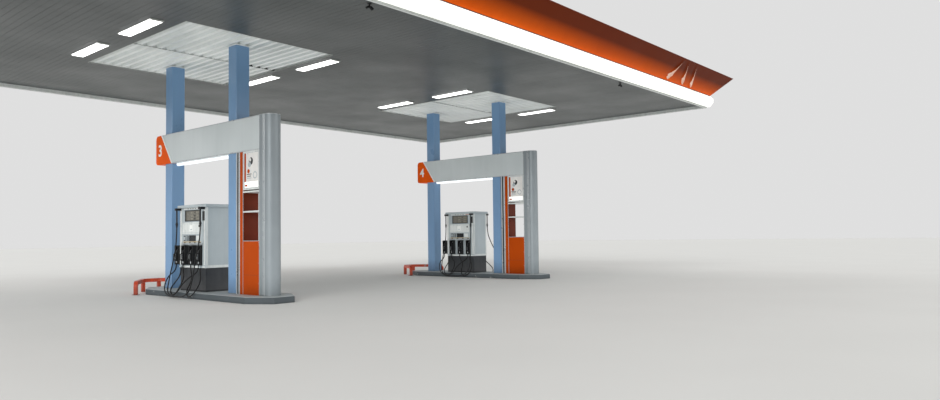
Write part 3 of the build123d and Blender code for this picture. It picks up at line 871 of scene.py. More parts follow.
@dataclass(frozen=True)
class Viewpoint:
    """Where the photograph was taken from: a low viewpoint off the near left corner."""

    position: Point = (-14.2309, -16.8533, 1.4264)
    heading: float = 49.239
    pitch: float = 2.2875
    roll: float = -0.0125459
    focal_px: float = 708.366
    frame_px: tuple[int, int] = (940, 400)
    centre_px: tuple[float, float] = (470.0, 207.92)
    sensor: float = 36.0
    clip_end: float = 400.0

    def place(self) -> None:
        """Make the camera and set it as the scene's."""
        turn, lift = math.radians(self.heading), math.radians(self.pitch)
        ahead = Vector((math.sin(turn), math.cos(turn), 0))
        right = Vector((math.cos(turn), -math.sin(turn), 0))
        up = Vector((0, 0, 1))
        view = ahead * math.cos(lift) + up * math.sin(lift)
        above = up * math.cos(lift) - ahead * math.sin(lift)
        axis_x = right * math.cos(self.roll) + above * math.sin(self.roll)
        axis_y = above * math.cos(self.roll) - right * math.sin(self.roll)
        camera = bpy.data.cameras.new("photo_camera")
        camera.sensor_fit = "HORIZONTAL"
        camera.sensor_width = self.sensor
        camera.lens = self.focal_px * self.sensor / self.frame_px[0]
        camera.shift_x = (self.frame_px[0] / 2 - self.centre_px[0]) / self.frame_px[0]
        camera.shift_y = (self.centre_px[1] - self.frame_px[1] / 2) / self.frame_px[0]
        camera.clip_end = self.clip_end
        holder = bpy.data.objects.new("photo_camera", camera)
        turned = Matrix((axis_x, axis_y, -view)).transposed().to_4x4()
        holder.matrix_world = Matrix.Translation(self.position) @ turned
        bpy.context.scene.collection.objects.link(holder)
        bpy.context.scene.camera = holder


@dataclass(frozen=True)
class Studio:
    """Pale floor, pale backdrop and broad soft lights."""

    floor_half: float = 150.0
    floor_z: float = -0.002
    floor_tones: tuple[str, str] = ("#cfcfcc", "#d5d5d2")
    floor_cloud: float = 0.4
    floor_roughness: float = 0.8
    world_light: float = 0.62
    backdrop: float = 0.74
    sun_from: tuple[Point, ...] = ((-0.80, -0.42, 0.42), (0.50, -0.76, 0.50), (0.10, 0.80, 0.70))
    sun_light: tuple[float, ...] = (1.90, 0.70, 0.45)
    sun_angle: float = 40.0
    uplight_size: tuple[float, float] = (22.0, 15.0)
    uplight_watts: float = 640.0
    uplight_z: float = 0.02

    def world(self) -> None:
        """Pale backdrop for the eye and for reflections, softer light for the rest."""
        world = bpy.data.worlds.new("studio")
        bpy.context.scene.world = world
        world.use_nodes = True
        tree = world.node_tree
        tree.nodes.clear()
        path = add_node(tree, "ShaderNodeLightPath").outputs
        seen = path["Is Camera Ray"]
        for ray in ("Is Glossy Ray", "Is Transmission Ray"):
            seen = add_node(tree, "ShaderNodeMath", {0: seen, 1: path[ray]}, operation="MAXIMUM").outputs[0]
        lights = {0: seen, 3: self.world_light, 4: self.backdrop}
        strength = add_node(tree, "ShaderNodeMapRange", lights).outputs[0]
        sky = add_node(tree, "ShaderNodeBackground", {"Color": (1, 1, 1, 1), "Strength": strength})
        add_node(tree, "ShaderNodeOutputWorld", {"Surface": sky.outputs[0]})

    def floor(self) -> None:
        """Plain pale floor that keeps the object's shadow."""
        mesh = bpy.data.meshes.new("studio_floor")
        h, z = self.floor_half, self.floor_z
        mesh.from_pydata([(-h, -h, z), (h, -h, z), (h, h, z), (-h, h, z)], [], [(0, 1, 2, 3)])
        material, tree, place = blank_material("studio_floor_pale")
        cloud = add_node(tree, "ShaderNodeTexNoise",
                         {"Vector": place, "Scale": self.floor_cloud}).outputs["Fac"]
        tones = {0: cloud, 6: linear(self.floor_tones[0]), 7: linear(self.floor_tones[1])}
        tone = add_node(tree, "ShaderNodeMix", tones, data_type="RGBA").outputs[2]
        shader = add_node(tree, "ShaderNodeBsdfPrincipled",
                          {"Base Color": tone, "Roughness": self.floor_roughness})
        add_node(tree, "ShaderNodeOutputMaterial", {"Surface": shader.outputs[0]})
        mesh.materials.append(material)
        floor = bpy.data.objects.new("studio_floor", mesh)
        bpy.context.scene.collection.objects.link(floor)

    def lamps(self) -> None:
        """Broad soft suns from three sides, and the light that the floor sends up to the ceiling."""
        for number, (source, strength) in enumerate(zip(self.sun_from, self.sun_light)):
            sun = bpy.data.lights.new(f"studio_sun_{number}", "SUN")
            sun.energy = strength
            sun.angle = math.radians(self.sun_angle)
            holder = bpy.data.objects.new(sun.name, sun)
            holder.matrix_world = Vector(source).to_track_quat("Z", "Y").to_matrix().to_4x4()
            bpy.context.scene.collection.objects.link(holder)
        up = bpy.data.lights.new("studio_uplight", "AREA")
        up.shape = "RECTANGLE"
        up.size, up.size_y = self.uplight_size
        up.energy = self.uplight_watts
        holder = bpy.data.objects.new(up.name, up)
        holder.matrix_world = Matrix.Translation((0, 0, self.uplight_z)) @ Matrix.Rotation(math.pi, 4, "X")
        holder.visible_camera = False
        holder.visible_glossy = False
        bpy.context.scene.collection.objects.link(holder)

    def build(self) -> None:
        """Set the whole stage."""
        self.world()
        self.floor()
        self.lamps()
        bpy.context.scene.view_settings.view_transform = "Standard"


# Hoses


@dataclass(frozen=True)
class Hoses(Assembly):
    """Four fuel hoses on each lane face, hung as they were left."""

    diameter: float = 0.030
    half: float = 0.350
    order: int = 3
    steps: int = 10
    ring_steps: int = 3
    lengths: tuple[float, ...] = (3.236, 1.926, 1.928, 3.976)
    routes: tuple[tuple[Point, ...], ...] = (
        ((0.110, 0.555, 1.870), (0.110, 0.555, 1.520), (0.135, 0.580, 1.130), (0.195, 0.630, 0.760),
         (0.265, 0.640, 0.420), (0.360, 0.550, 0.140), (0.404, 0.290, 0.055), (0.380, 0.010, 0.120),
         (0.290, -0.100, 0.360), (0.160, -0.243, 0.529), (0.082, -0.361, 0.604), (0.045, -0.417, 0.715),
         (0.045, -0.417, 0.840)),
        ((0.045, 0.462, 0.735), (0.045, 0.462, 0.610), (0.080, 0.490, 0.480), (0.170, 0.530, 0.350),
         (0.285, 0.515, 0.215), (0.342, 0.385, 0.078), (0.345, 0.200, 0.058), (0.300, 0.085, 0.215),
         (0.190, 0.095, 0.400), (0.114, 0.169, 0.534), (0.068, 0.294, 0.604), (0.045, 0.357, 0.715),
         (0.045, 0.357, 0.840)),
        ((0.045, -0.492, 0.735), (0.045, -0.492, 0.610), (0.085, -0.600, 0.490), (0.175, -0.710, 0.365),
         (0.285, -0.735, 0.215), (0.342, -0.630, 0.075), (0.345, -0.430, 0.045), (0.295, -0.300, 0.190),
         (0.165, -0.268, 0.385), (0.100, -0.205, 0.525), (0.065, -0.093, 0.604), (0.045, -0.030, 0.715),
         (0.045, -0.030, 0.840)),
        ((0.110, -0.615, 1.870), (0.110, -0.615, 1.540), (0.220, -0.690, 1.200), (0.350, -0.800, 0.850),
         (0.440, -0.870, 0.480), (0.468, -0.750, 0.170), (0.468, -0.420, 0.052), (0.468, -0.060, 0.048),
         (0.468, 0.290, 0.055), (0.430, 0.560, 0.170), (0.325, 0.715, 0.370), (0.190, 0.770, 0.540),
         (0.080, 0.735, 0.620), (0.045, 0.697, 0.730), (0.045, 0.697, 0.840)),
    )

    def hose(self, side: str, number: int, way: int, route: int) -> None:
        """Args:
            side: the island, "left" or "right".
            number: the hose's number on that island.
            way: the lane face it hangs on.
            route: which route it follows.
        """
        place = lane_place(ISLANDS[side], way, self.half)
        points = [place @ Vector(p) for p in self.routes[route]]
        curve = bpy.data.curves.new(f"fuel_hose_{side}_{number}", "CURVE")
        curve.dimensions = "3D"
        spline = curve.splines.new("NURBS")
        spline.points.add(len(points) - 1)
        for control, point in zip(spline.points, points):
            control.co = (*point, 1.0)
        spline.order_u = self.order
        spline.use_endpoint_u = True
        spline.resolution_u = self.steps
        curve.bevel_depth = self.diameter / 2
        curve.bevel_resolution = self.ring_steps
        curve.use_fill_caps = True
        curve.materials.append(self.shop[Finishes.HOSE_RUBBER])
        piece = bpy.data.objects.new(curve.name, curve)
        bpy.context.scene.collection.objects.link(piece)
        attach(piece, "root")
        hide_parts(f"hose_{side}_{number}")
        tuple(points[0])
        self.lengths[route]

    def build(self) -> None:
        """Make all sixteen hoses."""
        each = len(self.routes)
        for side in ISLANDS:
            for face, way in enumerate(WAYS):
                for route in range(each):
                    self.hose(side, 1 + face * each + route, way, route)
        log.info("fuel hoses: %d", each * len(WAYS) * len(ISLANDS))


# Ceiling


@dataclass(frozen=True)
class Ceiling(Assembly):
    """Strip ceiling with an opening over each island, its sheet above, and its lamps."""

    pitch: float = 0.150
    gap: float = 0.004
    board_t: float = 0.010
    board_short: float = 0.002
    board_play: Point = (0.0, 0.0, 0.0006)
    backing: float = 0.8
    rib_count: int = 89
    rib_foot: float = 0.146
    rib_crest: float = 0.060
    rib_short: float = 0.006
    rib_lift: float = 0.001
    lap_y: float = -0.12
    lap_strip: Span = (-0.016, -0.004)
    lap_drop: float = 0.005
    screw: Point = (0.014, 0.014, 0.006)
    screw_y: float = -0.05
    foam_x: float = 1.20
    closure_in: float = 0.0065
    closure_t: float = 0.012
    opening_shift: float = 0.045
    opening_x: float = 1.925
    opening_past: Span = (1.065, 0.885)
    trim_w: float = 0.014
    trim_drop: float = 0.002
    trim_bevel: float = 0.003
    collar_hole: float = 0.1755
    collar_w: float = 0.055
    collar_t: float = 0.014
    collar_bevel: float = 0.002
    sleeve_t: float = 0.006
    sleeve_drop: float = 0.001
    lamp_x: float = 2.350
    lamp_y: float = 1.330
    lamp_shift: float = -0.190
    lamp_half: Span = (0.150, 0.810)
    lamp_bezel: float = 0.016
    tray_t: float = 0.012
    end_cap: Point = (0.020, 0.022, 0.003)
    end_cap_in: float = 0.028
    diffuser_in: float = 0.050
    diffuser_top: float = 0.008
    lamp_bevels: Point = (0.004, 0.006, 0.010)
    flute: Point = (0.030, 0.012, 0.004)
    flute_in: float = 0.090
    flute_step: float = 0.040
    flutes: int = 37

    def boards(self) -> None:
        """Strip boards along Y, cut round both openings, under a pale backing."""
        low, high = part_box("soffit_lining")
        open_y0, open_y1 = self.opening_y()
        shape = Shape("ceiling_boards", self.shop)
        pitch = (high.x - low.x) / round((high.x - low.x) / self.pitch)
        edges = sorted(x for cx in ISLANDS.values() for x in self.opening_edges(cx))
        stops = [low.x, *edges, high.x]
        plates = [(x0, x1, low.y, high.y) for x0, x1 in zip(stops[::2], stops[1::2])]
        plates += [(x0, x1, y0, y1) for x0, x1 in zip(edges[::2], edges[1::2])
                   for y0, y1 in ((low.y, open_y0), (open_y1, high.y))]
        for x0, x1, y0, y1 in plates:
            shape.block((x0, y0, low.z + self.backing * self.board_t), (x1, y1, high.z), Finishes.TRIM_WHITE)
            count = max(1, round((x1 - x0) / pitch))
            step = (x1 - x0) / count
            middle = (x0 + step / 2, (y0 + y1) / 2, low.z + self.board_t / 2)
            shape.repeat(self.blocks, Finishes.SOFFIT_GREY, start=middle,
                         step_along=(step, 0.0, 0.0), count_along=count, play=self.board_play,
                         size=(step - self.gap, y1 - y0 - self.board_short, self.board_t))
        shape.done("soffit", "soffit_lining")

    def opening_y(self) -> Span:
        """The near and far edge of the openings."""
        return ISLAND_Y - COLUMN_REACH - self.opening_past[0], ISLAND_Y + COLUMN_REACH + self.opening_past[1]

    def opening_edges(self, cx: float) -> Span:
        """The left and right edge of an island's opening."""
        return cx + self.opening_shift - self.opening_x, cx + self.opening_shift + self.opening_x

    def opening_trims(self) -> None:
        """Folded angle round each opening, a little under the boards."""
        low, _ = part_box("soffit_lining")
        y0, y1 = self.opening_y()
        shape = Shape("opening_trims", self.shop)
        for cx in ISLANDS.values():
            x0, x1 = self.opening_edges(cx)
            for a, b in four_bars((x0, y0), (x1, y1), (self.trim_w, self.trim_w)):
                shape.block((*a, low.z - self.trim_drop), (*b, low.z - CLEAR), Finishes.TRIM_WHITE,
                            self.trim_bevel)
        shape.done("soffit")

    def collars(self) -> None:
        """Flashing round each column where it passes through the ceiling sheet."""
        low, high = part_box("ceiling_deck")
        shape = Shape("column_collars", self.shop)
        hole = self.collar_hole
        for cx in ISLANDS.values():
            for way in WAYS:
                place = Matrix.Translation((cx, ISLAND_Y + way * COLUMN_REACH, 0))
                for wide, z0, z1, bevel in (
                        (self.collar_w, low.z - self.collar_t, low.z - CLEAR, self.collar_bevel),
                        (self.sleeve_t, low.z - self.sleeve_drop, high.z, 0.0)):
                    for a, b in four_bars((-hole, -hole), (hole, hole), (wide, wide)):
                        shape.block((*a, z0), (*b, z1), Finishes.CEILING_SHEET, bevel, place)
        shape.done("ceiling_sheet")

    def rib_ends(self) -> None:
        """Closures in the ribs at both edges of each opening and at the lap of the sheets."""
        low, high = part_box("ceiling_deck")
        y0, y1 = self.opening_y()
        pitch = (high.x - low.x) / self.rib_count
        height = high.z - low.z - self.rib_short
        shape = Shape("rib_closures", self.shop)
        for cx in ISLANDS.values():
            x0, x1 = self.opening_edges(cx)
            first = math.ceil((x0 - low.x) / pitch - 0.5)
            last = math.floor((x1 - low.x) / pitch - 0.5)
            split = math.ceil((cx + self.foam_x - low.x) / pitch - 0.5)
            # Painted light and shade on the closures: the far row whiter where the lamps light it, the lap
            # row right of a given X charcoal where shade falls
            for y, begin, end, finish in ((y0 + self.closure_in, first, last, Finishes.CEILING_SHEET),
                                          (y1 - self.closure_in, first, last, Finishes.CLOSURE_WHITE),
                                          (self.lap_y, first, split - 1, Finishes.CEILING_SHEET),
                                          (self.lap_y, split, last, Finishes.FOAM)):
                middle = (low.x + (begin + 0.5) * pitch, y, low.z + height / 2 + self.rib_lift)
                shape.repeat(self.wedges, finish, start=middle, step_along=(pitch, 0.0, 0.0),
                             count_along=end - begin + 1, size=(self.rib_foot, self.closure_t, height),
                             taper=self.rib_crest / self.rib_foot)
            # Painted shade: a dark strip under the lap of the sheets
            near, far = (self.lap_y + y for y in self.lap_strip)
            shape.block((x0, near, low.z - self.lap_drop), (x1, far, low.z - CLEAR), Finishes.SHADOW)
            head = (low.x + first * pitch, self.lap_y + self.screw_y, low.z - self.screw[2] / 2)
            shape.repeat(self.blocks, Finishes.GALVANISED, start=head, step_along=(pitch, 0.0, 0.0),
                         count_along=last - first + 1, size=self.screw)
        shape.done("ceiling_sheet")

    def lamps(self) -> None:
        """Surface lamps: a white tray, end caps and a ribbed opal diffuser."""
        low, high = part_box("ceiling_lights")
        shape = Shape("ceiling_lamps", self.shop)
        wide, long = self.lamp_half
        inner = wide - self.lamp_bezel
        cap_x, cap_y, cap_z = self.end_cap
        tray_bevel, cap_bevel, diffuser_bevel = self.lamp_bevels
        for cx in ISLANDS.values():
            for dx in (-self.lamp_x, self.lamp_x):
                for dy in (-self.lamp_y, self.lamp_y):
                    place = Matrix.Translation((cx + dx, ISLAND_Y + self.lamp_shift + dy, 0))
                    tray = high.z - self.tray_t
                    shape.block((-wide, -long, tray), (wide, long, high.z), Finishes.TRIM_WHITE, tray_bevel,
                                place)
                    for way in WAYS:
                        y = way * (long - self.end_cap_in)
                        shape.block((cap_x - wide, y - cap_y, low.z + cap_z), (wide - cap_x, y + cap_y, tray),
                                    Finishes.TRIM_WHITE, cap_bevel, place)
                    shape.block((-inner, self.diffuser_in - long, low.z),
                                (inner, long - self.diffuser_in, high.z - self.diffuser_top), Finishes.LAMP,
                                diffuser_bevel, place)
                    shape.repeat(self.blocks, Finishes.LAMP, place,
                                 start=(0.0, self.flute_in - long, low.z - CLEAR),
                                 step_along=(0.0, self.flute_step, 0.0), count_along=self.flutes,
                                 size=(2 * inner - self.flute[0], *self.flute[1:]))
        shape.done("lamp", "ceiling_lights")

    def build(self) -> None:
        """Make the whole ceiling."""
        self.boards()
        self.opening_trims()
        self.collars()
        self.rib_ends()
        self.lamps()


# Roof edge


@dataclass(frozen=True)
class RoofEdge(Assembly):
    """Flared fascia in lengths of sheet, the light strip below it and the cap above."""

    flare_in: float = 0.125
    flare_out: float = 0.729
    sheet_t: float = 0.030
    lip_back: float = 0.025
    panel_l: float = 5.20
    joint: float = 0.0004
    mesh_step: float = 0.085
    fine_step: float = 0.030
    rows_up: int = 24
    buckle: float = 0.006
    buckle_rate: Point = (0.9, 0.9, 1.6)
    # Foot and top of each fold along the front, as X
    creases: tuple[Span, ...] = ((6.94, 7.13), (8.10, 7.44), (8.77, 8.06))
    crease_y: float = -6.5
    crease_w: float = 0.36
    crease_depth: float = 0.022
    crease_foot: float = 0.25
    crest_at: float = 0.35
    crest_w: float = 0.20
    crest_gain: float = 1.7
    held: float = 0.40
    ridge_w: tuple[float, ...] = (0.60, 0.46, 0.38)
    ridge_span: Span = (0.06, 0.80)
    ridge_wobble: float = 0.5
    ridge_rate: float = 14.0
    ridge_grow: Span = (0.10, 3.6)
    ridge_fade: float = 0.90
    ridge_section: tuple[Span, ...] = ((-0.5, -0.001), (-0.25, 0.003), (0.0, 0.006), (0.25, 0.003),
                                       (0.5, -0.001), (0.0, -0.012))
    drip_out: Span = (0.001, 0.034)
    drip_z: Span = (-0.004, 0.028)
    drip_bevel: float = 0.003
    # Dark strip over the light strip, in painted shade
    shade_strip_out: float = 0.004
    shade_strip_share: float = 0.6
    shade_strip_past: float = 0.090
    shade_strip_t: float = 0.018
    lap_plate: Point = (0.074, 0.110, 0.004)
    lap_plate_in: float = 0.035
    lap_plate_lift: float = 0.001

    def outline(self, angle: int) -> tuple[Vector, Vector, float, float]:
        """Where one side of the roof lies.

        Args:
            angle: the side, in degrees.

        Returns:
            Its outward and its lengthwise direction, its offset and its half length.
        """
        _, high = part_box("edge_beam")
        turn = math.radians(angle)
        out = Vector((math.sin(turn), -math.cos(turn), 0))
        along = Vector((math.cos(turn), math.sin(turn), 0))
        return (out, along, high.y, high.x) if angle % 180 == 0 else (out, along, high.x, high.y)

    def side_place(self, angle: int) -> Matrix:
        """Matrix from (out, along, Z) of one side to the frame."""
        out, along, _, _ = self.outline(angle)
        return Matrix((out, along, Vector((0, 0, 1)))).transposed().to_4x4()

    def dent(self, point: Vector, hold: float) -> float:
        """How far the sheet stands out of true at a point: soft buckles, and folds from one old knock.

        Args:
            point: the place on the true sheet.
            hold: 0 at the mitred corners, which hold the sheet straight, to 1 away from them.

        Returns:
            The distance outwards, in metres.
        """
        push = self.buckle * noise.noise(Vector([p * rate for p, rate in zip(point, self.buckle_rate)]))
        low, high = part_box("fascia_panels")
        up = (point.z - low.z) / (high.z - low.z)
        if point.y < self.crease_y:
            swell = math.sin(math.pi * min(1.0, self.crease_foot + (1 - self.crease_foot) * up))
            for foot, top in self.creases:
                off = (point.x - (foot + (top - foot) * up)) / self.crease_w
                if abs(off) < 1:
                    crest = self.crest_gain * math.exp(-((off - self.crest_at) / self.crest_w) ** 2)
                    push -= self.crease_depth * ((1 - abs(off)) ** 2 - crest) * swell
        return hold * push

    def mitred(self, t: float, d: float, half: float) -> float:
        """Place along a side, mitred at the side's two ends.

        Args:
            t: the place along the beam.
            d: how far out from the beam.
            half: the side's half length.

        Returns:
            The place along the side at that distance out.
        """
        if half - abs(t) > 1e-6:
            return t
        return math.copysign(abs(t) + d - self.joint, t)

    def panel(self, shape: Shape, angle: int, start: float, end: float) -> None:
        """One length of flared sheet, mitred where it meets a corner.

        Args:
            shape: the piece that takes it.
            angle: the side of the roof, in degrees.
            start: where it starts along the side.
            end: where it ends along the side.
        """
        out, along, offset, half = self.outline(angle)
        low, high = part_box("fascia_panels")
        rise, spread = high.z - low.z, self.flare_out - self.flare_in
        lean = spread / rise
        run = self.sheet_t * math.hypot(lean, 1)
        section = [(0.0, low.z)]
        section += [(self.flare_in + spread * k / self.rows_up, low.z + rise * k / self.rows_up)
                    for k in range(self.rows_up + 1)]
        lip = low.z + self.lip_back
        section += [(self.flare_out - run, high.z), (self.flare_in - run + lean * self.lip_back, lip),
                    (0.0, lip)]
        creased = angle == 0 and end > self.creases[0][0]
        count = max(2, round((end - start) / (self.fine_step if creased else self.mesh_step)))
        normal = (out - Vector((0, 0, lean))).normalized()
        part = bmesh.new()
        rings = []
        for i in range(count + 1):
            ring = []
            for number, (d, z) in enumerate(section):
                first, last = self.mitred(start, d, half), self.mitred(end, d, half)
                t = first + (last - first) * i / count
                place = out * (offset + d) + along * t
                place.z = z
                if 1 < number < self.rows_up + 1:
                    hold = (half + d - abs(t)) / self.held
                    place += normal * self.dent(place, max(0.0, min(1.0, hold)))
                ring.append(part.verts.new(place))
            rings.append(ring)
        shape.skin(part, rings, smooth=self.rows_up + 1, flat=1)
        shape.take(part, Finishes.FLARE_ORANGE)

    def fascia(self) -> None:
        """All lengths of flared sheet, with a narrow joint between each two."""
        shape = Shape("fascia_sheets", self.shop)
        for angle in ROOF_SIDES:
            half = self.outline(angle)[3]
            count = round(2 * half / self.panel_l)
            length = 2 * half / count
            for i in range(count):
                start = -half + i * length + (self.joint / 2 if i else 0)
                end = -half + (i + 1) * length - (self.joint / 2 if i < count - 1 else 0)
                self.panel(shape, angle, start, end)
        shape.done("orange_paint", "fascia_panels")

    def ridges(self) -> None:
        """Painted highlight along the crest of each fold: pale slivers that narrow towards both ends."""
        shape = Shape("crease_ridges", self.shop)
        out, along, offset, _ = self.outline(0)
        low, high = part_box("fascia_panels")
        rise, spread = high.z - low.z, self.flare_out - self.flare_in
        normal = (out - Vector((0, 0, spread / rise))).normalized()
        first, last = self.ridge_span
        least, grow = self.ridge_grow
        steps = 2 * self.rows_up
        for (foot, top), width in zip(self.creases, self.ridge_w):
            part = bmesh.new()
            rings = []
            for i in range(steps + 1):
                share = i / steps
                up = first + (last - first) * share
                middle = foot + (top - foot) * up + self.crest_at * self.crease_w
                rough = 1 + self.ridge_wobble * noise.noise(Vector((foot, 0, self.ridge_rate * up)))
                taper = rough * min(1.0, least + grow * share) * (1 - self.ridge_fade * share) ** 3
                ring = []
                for side, lift in self.ridge_section:
                    place = out * (offset + self.flare_in + spread * up)
                    place += along * (middle + side * width * taper)
                    place.z = low.z + rise * up
                    place += normal * (self.dent(place, 1.0) + lift)
                    ring.append(part.verts.new(place))
                rings.append(ring)
            shape.skin(part, rings)
            shape.take(part, Finishes.STRESSED_FILM)
        shape.done("orange_paint")

    def strip_rails(self) -> None:
        """Drip rail along the edge of the ceiling, and a dark strip of painted shade over the light strip."""
        shape = Shape("strip_fittings", self.shop)
        beam_low, beam_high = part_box("edge_beam")
        _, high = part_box("light_strips")
        reach = self.shade_strip_share * (high.x - beam_high.x)
        for angle in ROOF_SIDES:
            _, _, offset, half = self.outline(angle)
            place = self.side_place(angle)
            (d0, d1), (z0, z1) = self.drip_out, self.drip_z
            shape.block((offset + d0, -half, beam_low.z + z0), (offset + d1, half, beam_low.z + z1),
                        Finishes.TRIM_WHITE, self.drip_bevel, place)
            past = half + self.shade_strip_past
            shape.block((offset + self.shade_strip_out, -past, high.z + CLEAR),
                        (offset + reach, past, high.z + self.shade_strip_t), Finishes.SHADOW, place=place)
        shape.done("trim_metal")

    def cap_joints(self) -> None:
        """Lap plates where two lengths of the cap meet."""
        _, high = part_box("fascia_cap")
        shape = Shape("cap_joint_plates", self.shop)
        for angle in ROOF_SIDES:
            half = self.outline(angle)[3]
            edge = (high.y if angle % 180 == 0 else high.x) - self.lap_plate_in
            count = round(2 * half / self.panel_l)
            length = 2 * half / count
            shape.repeat(self.blocks, Finishes.ALUMINIUM, self.side_place(angle),
                         start=(edge, -half + length, high.z + self.lap_plate_lift),
                         step_along=(0.0, length, 0.0), count_along=count - 1, size=self.lap_plate)
        shape.done("cap_metal")

    def build(self) -> None:
        """Make the roof's whole edge."""
        self.fascia()
        self.ridges()
        self.strip_rails()
        self.cap_joints()


@dataclass(frozen=True)
class RoofTop(Assembly):
    """Fixings of the roof sheet."""

    rib_count: int = 40
    screw: Point = (0.026, 0.026, 0.008)
    screw_lift: float = 0.003
    edge: float = 0.2
    rows_of_screws: int = 9

    def build(self) -> None:
        """Washered screws on each rib, over the beams below."""
        low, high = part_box("roof_deck")
        pitch = (high.x - low.x) / self.rib_count
        step = (high.y - low.y - 2 * self.edge) / (self.rows_of_screws - 1)
        shape = Shape("roof_screws", self.shop)
        shape.repeat(self.rounds, Finishes.GALVANISED,
                     start=(low.x + pitch / 2, low.y + self.edge, high.z + self.screw_lift),
                     step_along=(0.0, step, 0.0), count_along=self.rows_of_screws,
                     step_across=(pitch, 0.0, 0.0), count_across=self.rib_count, size=self.screw, sides=8)
        shape.done("roof_sheet")


# Portals


@dataclass(frozen=True)
class Portals(Assembly):
    """Fittings of the two portals: figures, seams, poster boxes, shelf edges and trims."""

    width: float = 0.406
    skin: float = 0.006
    header_z: float = 3.458
    header_h: float = 0.785
    slant_low: float = COLUMN_REACH - 0.205
    slant_high: float = COLUMN_REACH + 0.360
    end_y: float = COLUMN_REACH + 0.175 + 0.471
    trim_y: float = -1.792
    jamb_y: float = -2.087
    shell_y: float = -2.756
    nose_y: float = -3.137
    box_z: float = 2.559
    niche_z: float = 1.386
    shelves: tuple[float, ...] = (2.040, 2.500)
    box_rim: float = 0.036
    box_recess: float = 0.014
    box_frame: float = 0.014
    figure: float = 0.30
    figure_t: float = 0.003
    figure_up: float = 0.46
    figure_in: float = 0.235
    bead_w: float = 0.048
    bead_in: float = 0.002
    profile_t: float = 0.004
    profile_z: Span = (0.020, 0.018)
    profile_short: float = 0.030
    nose_sides: int = 40
    upright_r: float = 0.006
    upright_y: tuple[float, ...] = (0.030, 0.0, -0.030)
    upright_ends: Span = (0.150, -0.004)
    rivet: Point = (0.016, 0.016, 0.006)
    rivet_at: Point = (0.001, 0.032, 0.420)
    rivet_step: float = 0.460
    rivets: int = 9
    cap_steps: int = 20
    cap_t: float = 0.010
    nose_foot: Span = (0.149, 0.175)
    nose_foot_over: float = 1.02
    plate_bevel: float = 0.003
    lining_t: float = 0.002
    shelf_t: float = 0.033
    seam_z: Span = (0.600, 0.604)
    reveal: Span = (-0.0295, -0.008)
    reveal_y: Span = (-0.1015, -0.0465)
    # The poster's discs: Y and Z from its middle, radius, finish and layer
    discs: tuple[tuple[float, float, float, Finishes, int], ...] = (
        (0.02, 0.21, 0.085, Finishes.INK, 1), (0.08, 0.13, 0.060, Finishes.CABINET, 2),
        (0.05, 0.24, 0.040, Finishes.POSTER_GROUND, 2), (-0.15, -0.12, 0.085, Finishes.CABINET, 1),
        (-0.15, -0.12, 0.060, Finishes.POSTER_GROUND, 2), (0.12, -0.02, 0.050, Finishes.ORANGE, 1))
    # The poster's bars: length and finish, the highest first
    bars: tuple[tuple[float, Finishes], ...] = (
        (0.20, Finishes.INK), (0.16, Finishes.INK), (0.18, Finishes.CABINET))
    layer_t: float = 0.0006

    def numerals(self) -> None:
        """The island's number in white on both sides of the orange header end."""
        shape = Shape("island_numbers", self.shop)
        out = self.width / 2 + self.skin + self.figure_t / 2
        y, z = ISLAND_Y + self.end_y - self.figure_in, self.header_z + self.figure_up * self.header_h
        for cx, text in zip(ISLANDS.values(), ("3", "4")):
            for way in WAYS:
                place = reading_place(cx + way * out, way, y, z)
                shape.words(text, self.figure, self.figure_t, Finishes.VINYL_WHITE, place)
        shape.done("orange_paint")

    def header_beads(self) -> None:
        """Pale bead along the slanted joint and the edge profiles of the header's panels."""
        shape = Shape("header_beads", self.shop)
        foot, top = self.header_z, self.header_z + self.header_h
        low_y, high_y = ISLAND_Y + self.slant_low, ISLAND_Y + self.slant_high
        slanted = [(low_y - self.bead_w, foot), (low_y - self.bead_in, foot), (high_y - self.bead_in, top),
                   (high_y - self.bead_w, top)]
        upright = Matrix(((0, 0, 1, 0), (1, 0, 0, 0), (0, 1, 0, 0), (0, 0, 0, 1)))
        over = self.profile_t
        for cx, way, face in lane_faces(self.width / 2):
            x0, x1 = sorted(cx + way * (self.width / 2 + out) for out in (-self.bead_in, self.skin + over))
            shape.prism(slanted, x0, x1, Finishes.VINYL_WHITE, upright, bevel=0.002)
            for z0, z1, y1 in ((foot - over, foot + self.profile_z[0], self.slant_low),
                               (top - self.profile_z[1], top + over, self.slant_high)):
                shape.block((0, self.shell_y, z0), (over, y1 - self.profile_short, z1), Finishes.ALUMINIUM,
                            0.0015, face)
        shape.done("silver_paint")

    def nose_trims(self) -> None:
        """Upright beads on the flat behind each nose, rivets, a cap plate and a foot plate."""
        shape = Shape("nose_beads", self.shop)
        half, turn_y = self.width / 2, self.nose_y + self.width / 2
        top = self.header_z + self.header_h
        beads = (self.shell_y + self.upright_r, *(turn_y + y for y in self.upright_y))
        z0, z1 = self.upright_ends[0], top + self.upright_ends[1]
        rivet_out, rivet_y, rivet_z = self.rivet_at
        for cx in ISLANDS.values():
            for way in WAYS:
                face = lane_place(cx, way, half)
                for y in beads:
                    shape.rod((-self.bead_in, y, z0), (-self.bead_in, y, z1), self.upright_r,
                              Finishes.ALUMINIUM, face, sides=8)
                first = face @ Vector((rivet_out, self.shell_y + rivet_y, rivet_z))
                shape.repeat(self.rounds, Finishes.ALUMINIUM, start=first, size=self.rivet, sides=8,
                             step_along=(0.0, 0.0, self.rivet_step), count_along=self.rivets,
                             turn=(0.0, math.pi / 2, 0.0))
            cap = [(cx + half * math.cos(a), ISLAND_Y + turn_y - half * math.sin(a))
                   for a in (math.pi * i / self.cap_steps for i in range(self.cap_steps + 1))]
            cap += [(cx + way * half, ISLAND_Y + self.shell_y) for way in WAYS]
            foot = [(cx + (x - cx) * self.nose_foot_over, y) for x, y in cap]
            for outline, ends, finish in ((cap, (top + CLEAR, top + self.cap_t), Finishes.ALUMINIUM),
                                          (foot, self.nose_foot, Finishes.GALVANISED)):
                shape.prism(outline, *ends, finish, Matrix.Identity(4), bevel=self.plate_bevel)
        shape.done("trim_metal")

